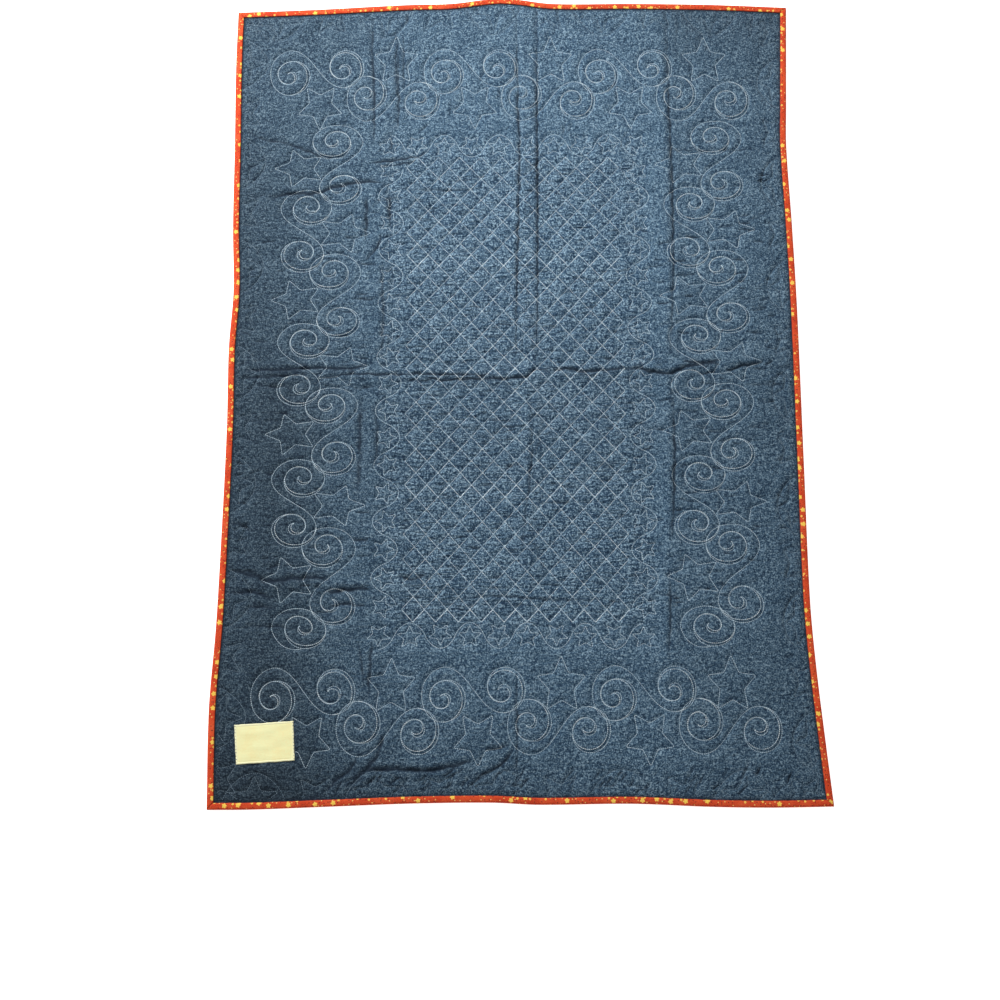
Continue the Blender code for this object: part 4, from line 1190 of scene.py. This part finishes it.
class Nodes:
    """A material's nodes, with short calls for the few kinds that are used here."""

    def __init__(self, name):
        self.material = bpy.data.materials.new(name)
        self.material.use_nodes = True
        self.tree = self.material.node_tree
        self.shader = self.tree.nodes["Principled BSDF"]

    def make(self, kind, **values):
        node = self.tree.nodes.new(kind)
        for key, value in values.items():
            setattr(node, key, value)
        return node

    def link(self, source, target):
        if isinstance(source, (int, float)):
            target.default_value = source
        elif isinstance(source, tuple):
            target.default_value = source if len(source) == len(target.default_value) else (*source, 1.0)
        else:
            self.tree.links.new(source, target)

    def math(self, operation, a, b=None):
        node = self.make("ShaderNodeMath", operation=operation)
        self.link(a, node.inputs[0])
        if b is not None:
            self.link(b, node.inputs[1])
        return node.outputs[0]

    def place(self, scale=(1, 1, 1), uv=False, shift=(0, 0, 0)):
        source = self.make("ShaderNodeTexCoord").outputs["UV" if uv else "Object"]
        mapping = self.make("ShaderNodeMapping")
        self.link(source, mapping.inputs["Vector"])
        mapping.inputs["Scale"].default_value = scale
        mapping.inputs["Location"].default_value = shift
        return mapping.outputs[0]

    def times(self, a, b):
        return self.math("MULTIPLY", a, b)

    def plus(self, a, b):
        return self.math("ADD", a, b)

    def weighted(self, *terms):
        """The sum of (value, weight) terms."""
        total = self.times(*terms[0])
        for term in terms[1:]:
            total = self.plus(total, self.times(*term))
        return total

    def split(self, vector):
        parts = self.make("ShaderNodeSeparateXYZ")
        self.link(vector, parts.inputs[0])
        return parts.outputs["X"], parts.outputs["Y"]

    def attribute(self, name):
        return self.make("ShaderNodeAttribute", attribute_name=name).outputs["Fac"]

    def noise(self, vector, scale, detail=2.0, roughness=0.5):
        node = self.make("ShaderNodeTexNoise")
        self.link(vector, node.inputs["Vector"])
        for name, value in (("Scale", scale), ("Detail", detail), ("Roughness", roughness)):
            node.inputs[name].default_value = value
        return node.outputs["Fac"]

    def ramp(self, value, stops):
        node = self.make("ShaderNodeValToRGB")
        self.link(value, node.inputs[0])
        elements = node.color_ramp.elements
        elements[0].position, elements[0].color = stops[0][0], (*stops[0][1], 1.0)
        elements[1].position, elements[1].color = stops[-1][0], (*stops[-1][1], 1.0)
        for position, colour in stops[1:-1]:
            elements.new(position).color = (*colour, 1.0)
        return node.outputs[0]

    def mix(self, share, a, b, blend="MIX"):
        node = self.make("ShaderNodeMix", data_type="RGBA", blend_type=blend)
        for number, value in ((0, share), (6, a), (7, b)):
            self.link(value, node.inputs[number])
        return node.outputs[2]

    def range(self, value, low, high, new_low=0.0, new_high=1.0, kind="LINEAR"):
        node = self.make("ShaderNodeMapRange", interpolation_type=kind)
        self.link(value, node.inputs["Value"])
        names = ("From Min", "From Max", "To Min", "To Max")
        for name, number in zip(names, (low, high, new_low, new_high)):
            node.inputs[name].default_value = number
        return node.outputs[0]

    def step(self, value, start, end):
        """Rises smoothly from 0 at the start to 1 at the end."""
        return self.range(value, start, end, kind="SMOOTHSTEP")

    def curve(self, value, table):
        """Reads a table of distance and value as a smooth curve."""
        low, high = table[0][0], table[-1][0]
        stops = [((at - low) / (high - low), (share / BRIGHTEST_PAINTED_LIGHT,) * 3) for at, share in table]
        colour = self.ramp(self.range(value, low, high), stops)
        colour.node.color_ramp.interpolation = "B_SPLINE"
        grey = self.make("ShaderNodeSeparateColor")
        self.link(colour, grey.inputs[0])
        return self.times(grey.outputs[0], BRIGHTEST_PAINTED_LIGHT)

    def scale_colour(self, colour, factor):
        grey = self.make("ShaderNodeCombineColor")
        for socket in grey.inputs[:3]:
            self.link(factor, socket)
        return self.mix(1.0, colour, grey.outputs[0], "MULTIPLY")

    def weave(self, vector, pitch):
        """Crossing threads as a height from 0 to 1, and which of the two lies on top."""
        waves = [self.math("SINE", self.times(side, math.pi / pitch)) for side in self.split(vector)]
        over = self.times(*waves)
        return self.math("ABSOLUTE", over), over

    def finish(self, colour, relief, roughness, specular, strength, reach, sheen=0.0):
        """Sets the cloth's colour and gloss, and its relief as a bump."""
        self.link(colour, self.shader.inputs["Base Color"])
        values = (("Roughness", roughness), ("Specular IOR Level", specular), ("Sheen Weight", sheen))
        for name, value in values:
            self.shader.inputs[name].default_value = value
        node = self.make("ShaderNodeBump")
        node.inputs["Strength"].default_value = strength
        node.inputs["Distance"].default_value = reach
        self.link(relief, node.inputs["Height"])
        self.link(node.outputs[0], self.shader.inputs["Normal"])
        return self.material


def chambray_material():
    """Blue warp and pale weft, so the cloth is flecked, with slubs both ways and fine puckers; painted
    light and shade across it, and painted shade in its creases, along the rim and round the label.
    """
    nodes = Nodes("chambray")
    here = nodes.place()
    height, over = nodes.weave(here, 0.0009)
    fleck = nodes.noise(here, 420, 1.0, 0.55)
    patch = nodes.noise(here, 175, 1.0, 0.5)
    along = nodes.noise(nodes.place((130, 520, 1)), 1.0, 1.0, 0.5)
    up = nodes.noise(nodes.place((520, 130, 1), shift=(3, 7, 0)), 1.0, 1.0, 0.5)
    cloud = nodes.noise(here, 30, 3.0, 0.55)
    flecks = ((fleck, 0.50), (patch, 0.18), (along, 0.11), (up, 0.11), (cloud, 0.08), (over, 0.02))
    tone = nodes.weighted(*flecks)
    x, y = nodes.split(here)
    middle = nodes.times(nodes.step(nodes.math("ABSOLUTE", x), 0.250, 0.205), MIDDLE_CONTRAST)
    middle = nodes.times(middle, nodes.step(nodes.math("ABSOLUTE", y), 0.470, 0.420))
    tone = nodes.plus(tone, nodes.times(nodes.math("SUBTRACT", tone, 0.5), middle))
    colour = nodes.ramp(tone, DENIM_TONES)
    # Painted light and shade: the denim is made brighter through the middle and darker towards the left
    # and lower edges, with painted light at the upper left corner, painted shade at the upper right corner
    # and on a strip at the lower left, and along the bottom edge painted shade to the left and painted
    # light to the right
    painted_light_shade = nodes.times(nodes.curve(x, PAINTED_LIGHT_ACROSS), nodes.curve(y, PAINTED_LIGHT_UP))
    from_strip = nodes.math("ABSOLUTE", nodes.plus(x, 0.400))
    painted_light_shade_patches = (
        (nodes.step(x, -0.30, -0.50), nodes.step(y, 0.38, 0.56), 1.30),
        (nodes.step(x, 0.22, 0.32), nodes.step(y, 0.55, 0.72), 0.85),
        (nodes.step(from_strip, 0.090, 0.030), nodes.step(y, 0.08, -0.05), 0.82),
    )
    for across, upward, share in painted_light_shade_patches:
        painted_light_shade = nodes.times(painted_light_shade, nodes.range(nodes.times(across, upward), 0.0, 1.0, 1.0, share))
    low = nodes.times(nodes.step(y, -0.56, -0.74), nodes.range(x, -0.25, 0.40, -0.14, 0.26))
    painted_light_shade = nodes.times(painted_light_shade, nodes.plus(low, 1.0))
    # Painted shade: darkens the denim towards navy in creases, along the rim inside the binding and round
    # the label
    shade = nodes.times(nodes.step(nodes.attribute("painted_shade"), 0.0, 0.9), 0.88)
    colour = nodes.mix(shade, nodes.scale_colour(colour, painted_light_shade), (0.007, 0.017, 0.034))
    pucker = nodes.noise(nodes.place((42, 210, 1), shift=(1, 2, 0)), 1.0, 1.0, 0.5)
    pucker = nodes.times(pucker, nodes.range(middle, 0.0, MIDDLE_CONTRAST, 0.6, 1.5))
    rumple = nodes.noise(here, 150, 2.0, 0.5)
    relief = nodes.weighted((height, 0.08), (pucker, 1.0), (rumple, 1.0), (fleck, 0.25))
    look = {"roughness": 0.90, "specular": 0.25, "sheen": 0.08}
    return nodes.finish(colour, relief, strength=1.0, reach=0.0028, **look)


def front_material():
    """Plain cotton for the side that the photograph doesn't show."""
    nodes = Nodes("front_cotton")
    here = nodes.place()
    height, over = nodes.weave(here, 0.0008)
    fleck = nodes.noise(here, 240, 3.0, 0.6)
    tone = nodes.weighted((fleck, 0.8), (over, 0.08))
    colour = nodes.ramp(tone, ((0.25, (0.36, 0.38, 0.40)), (0.60, (0.52, 0.53, 0.52))))
    relief = nodes.plus(height, fleck)
    return nodes.finish(colour, relief, roughness=0.92, specular=0.2, strength=0.35, reach=0.0006)


def thread_material(name, dark, light):
    nodes = Nodes(name)
    colour = nodes.ramp(nodes.noise(nodes.place(), 90, 3.0, 0.7), ((0.35, dark), (0.62, light)))
    ply = nodes.noise(nodes.place((1900, 1900, 1900)), 1.0, 1.0, 0.5)
    return nodes.finish(colour, ply, roughness=0.55, specular=0.35, strength=0.4, reach=0.0002, sheen=0.15)


def print_mark(nodes, vector, shape, spacing, size, keep, shift):
    """Where small dots or five-pointed stars lie, scattered one to a cell."""
    shifted = nodes.make("ShaderNodeMapping")
    nodes.link(vector, shifted.inputs["Vector"])
    shifted.inputs["Location"].default_value = (*shift, 0)
    cells = nodes.make("ShaderNodeTexVoronoi", voronoi_dimensions="2D")
    nodes.link(shifted.outputs[0], cells.inputs["Vector"])
    cells.inputs["Scale"].default_value = 1 / spacing
    pick = nodes.make("ShaderNodeSeparateColor")
    nodes.link(cells.outputs["Color"], pick.inputs[0])
    if shape == "dot":
        inside = nodes.math("LESS_THAN", cells.outputs["Distance"], size / spacing)
        return nodes.times(inside, nodes.math("LESS_THAN", pick.outputs[0], keep))
    cells.inputs["Randomness"].default_value = 0.50
    offset = nodes.make("ShaderNodeVectorMath", operation="SUBTRACT")
    nodes.link(shifted.outputs[0], offset.inputs[0])
    nodes.link(cells.outputs["Position"], offset.inputs[1])
    x, y = nodes.split(offset.outputs[0])
    angle = nodes.plus(nodes.math("ARCTAN2", y, x), nodes.times(pick.outputs[0], PRINT_STAR_TURN))
    point = nodes.math("PINGPONG", angle, math.pi / 5)
    length = nodes.make("ShaderNodeVectorMath", operation="LENGTH")
    nodes.link(offset.outputs[0], length.inputs[0])
    reach = nodes.range(point, 0.0, math.pi / 5, size, size * PRINT_STAR_NOTCH)
    inside = nodes.math("LESS_THAN", length.outputs["Value"], reach)
    return nodes.times(inside, nodes.math("LESS_THAN", pick.outputs[1], keep))


def binding_material():
    """Red-orange cotton printed with scattered yellow stars and small dots, with painted shade along its
    inner edge.
    """
    nodes = Nodes("binding_print")
    flat = nodes.place(uv=True)
    height, _ = nodes.weave(flat, 0.0006)
    tone = nodes.weighted((nodes.noise(flat, 500, 3.0, 0.6), 0.6), (nodes.noise(flat, 40, 2.0, 0.5), 0.4))
    reds = ((0.34, (0.48, 0.030, 0.009)), (0.50, (0.69, 0.070, 0.018)), (0.66, (0.80, 0.125, 0.038)))
    colour = nodes.ramp(tone, reds)
    for *mark, ink in PRINT:
        colour = nodes.mix(print_mark(nodes, flat, *mark), colour, ink)
    # Painted shade along the binding's inner edge, where it folds down onto the denim
    inner = nodes.times(nodes.step(nodes.split(flat)[1], 0.0024, 0.0006), 0.85)
    colour = nodes.mix(inner, colour, (0.10, 0.020, 0.014))
    relief = nodes.weighted((height, 0.3), (nodes.noise(flat, 180, 2.0, 0.5), 1.0))
    return nodes.finish(colour, relief, roughness=0.85, specular=0.25, strength=0.5, reach=0.0007)


def label_material():
    """Cream cotton with a few soft creases."""
    nodes = Nodes("label_cotton")
    here = nodes.place()
    height, over = nodes.weave(here, 0.0005)
    fleck = nodes.noise(here, 300, 3.0, 0.6)
    tone = nodes.weighted((fleck, 0.5), (nodes.noise(here, 45, 2.0, 0.5), 0.5), (over, 0.04))
    colour = nodes.ramp(tone, ((0.36, (1.00, 0.90, 0.455)), (0.60, (1.00, 0.97, 0.54))))
    colour = nodes.mix(nodes.times(nodes.attribute("hem"), 0.6), colour, (1.0, 0.98, 0.68))
    crease = nodes.noise(nodes.place((30, 110, 1)), 1.0, 2.0, 0.5)
    relief = nodes.weighted((height, 0.2), (crease, 1.0))
    return nodes.finish(colour, relief, roughness=0.88, specular=0.25, strength=0.4, reach=0.0012)


def build_floor():
    nodes = Nodes("pale_floor")
    values = (
        ("Base Color", (0.86, 0.86, 0.86)),
        ("Roughness", 0.9),
        ("Specular IOR Level", 0.0),
        ("Emission Color", (1.0, 1.0, 1.0)),
        ("Emission Strength", 0.85),
    )
    for name, value in values:
        nodes.link(value, nodes.shader.inputs[name])
    corners = [(x * FLOOR_HALF, y * FLOOR_HALF, -0.0004) for x, y in ((-1, -1), (1, -1), (1, 1), (-1, 1))]
    mesh_object("floor", corners, [(0, 1, 2, 3)], [nodes.material])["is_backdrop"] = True


def add_lights():
    world = bpy.data.worlds.new("soft_room")
    bpy.context.scene.world = world
    world.use_nodes = True
    background = world.node_tree.nodes["Background"]
    background.inputs["Color"].default_value = (0.96, 0.98, 1.0, 1.0)
    background.inputs["Strength"].default_value = 0.28
    for name, location, aim, size, power in LIGHTS:
        light = bpy.data.lights.new(name, "AREA")
        light.shape = "DISK"
        light.size = size
        light.energy = power
        obj = add_object(name, light)
        obj.location = location
        obj.rotation_mode = "QUATERNION"
        obj.rotation_quaternion = (Vector(aim) - Vector(location)).to_track_quat("-Z", "Y")


def add_camera():
    data = bpy.data.cameras.new("camera")
    data.lens = LENS
    data.sensor_width = 36.0
    data.clip_end = 50.0
    a, e, r = CAMERA_YAW, CAMERA_ELEVATION, CAMERA_ROLL
    back = Vector((math.sin(a) * math.cos(e), -math.cos(a) * math.cos(e), math.sin(e)))
    right = Vector((math.cos(a), math.sin(a), 0.0))
    up = back.cross(right)
    turned_right = right * math.cos(r) + up * math.sin(r)
    turned_up = up * math.cos(r) - right * math.sin(r)
    matrix = Matrix((turned_right, turned_up, back)).transposed().to_4x4()
    matrix.translation = Vector(CAMERA_PLACE) - Vector((*CENTRE, 0.0))
    camera = add_object("camera", data)
    camera.matrix_world = matrix
    bpy.context.scene.camera = camera


def main():
    bpy.context.scene.view_settings.view_transform = "Standard"
    add_camera()
    add_lights()
    build_floor()

    drawn = [*diamond_edges(), *chain_lines(), *border_lines(), *edge_chain_lines()]
    kept = [(kind, run) for kind, line in drawn for run in runs(resample(line, SAMPLE_STEP), shows)]
    sewn_lines = [run for kind, run in kept if kind not in ("diamond again", "swirl back")]
    creases = all_creases()
    backing = build_backing(sewn_lines, creases, [chambray_material(), front_material()])
    surface = BVHTree.FromObject(backing, bpy.context.evaluated_depsgraph_get())

    spools = {name: thread_material(name, dark, light) for name, dark, light in THREAD_COLOURS}
    threads = []
    for name, kinds, width, spool in THREADS:
        lines = [run for kind, run in kept if kind in kinds]
        threads.append(build_stitches(name, lines, width, (surface,), spools[spool]))

    red_cloth = binding_material()
    bindings = [build_binding(side, red_cloth) for side in SIDES]
    label = build_label(label_material())
    label_surface = BVHTree.FromObject(label, bpy.context.evaluated_depsgraph_get())
    surfaces = (label_surface, surface)
    navy = spools["navy_thread"]
    label_thread = build_stitches("thread_label", whip_stitches(), WHIP_WIDTH, surfaces, navy)

    for piece in (backing, label, label_thread, *bindings, *threads):
        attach(piece, "root")
    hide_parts("quilt_body")
    for side, binding in zip(SIDES, bindings):
        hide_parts("binding_" + side)
    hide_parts("label")

    boxes = {"cad": cad_box, "visual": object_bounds()}
    {name: [list(corner) for corner in box] for name, box in boxes.items()}


main()
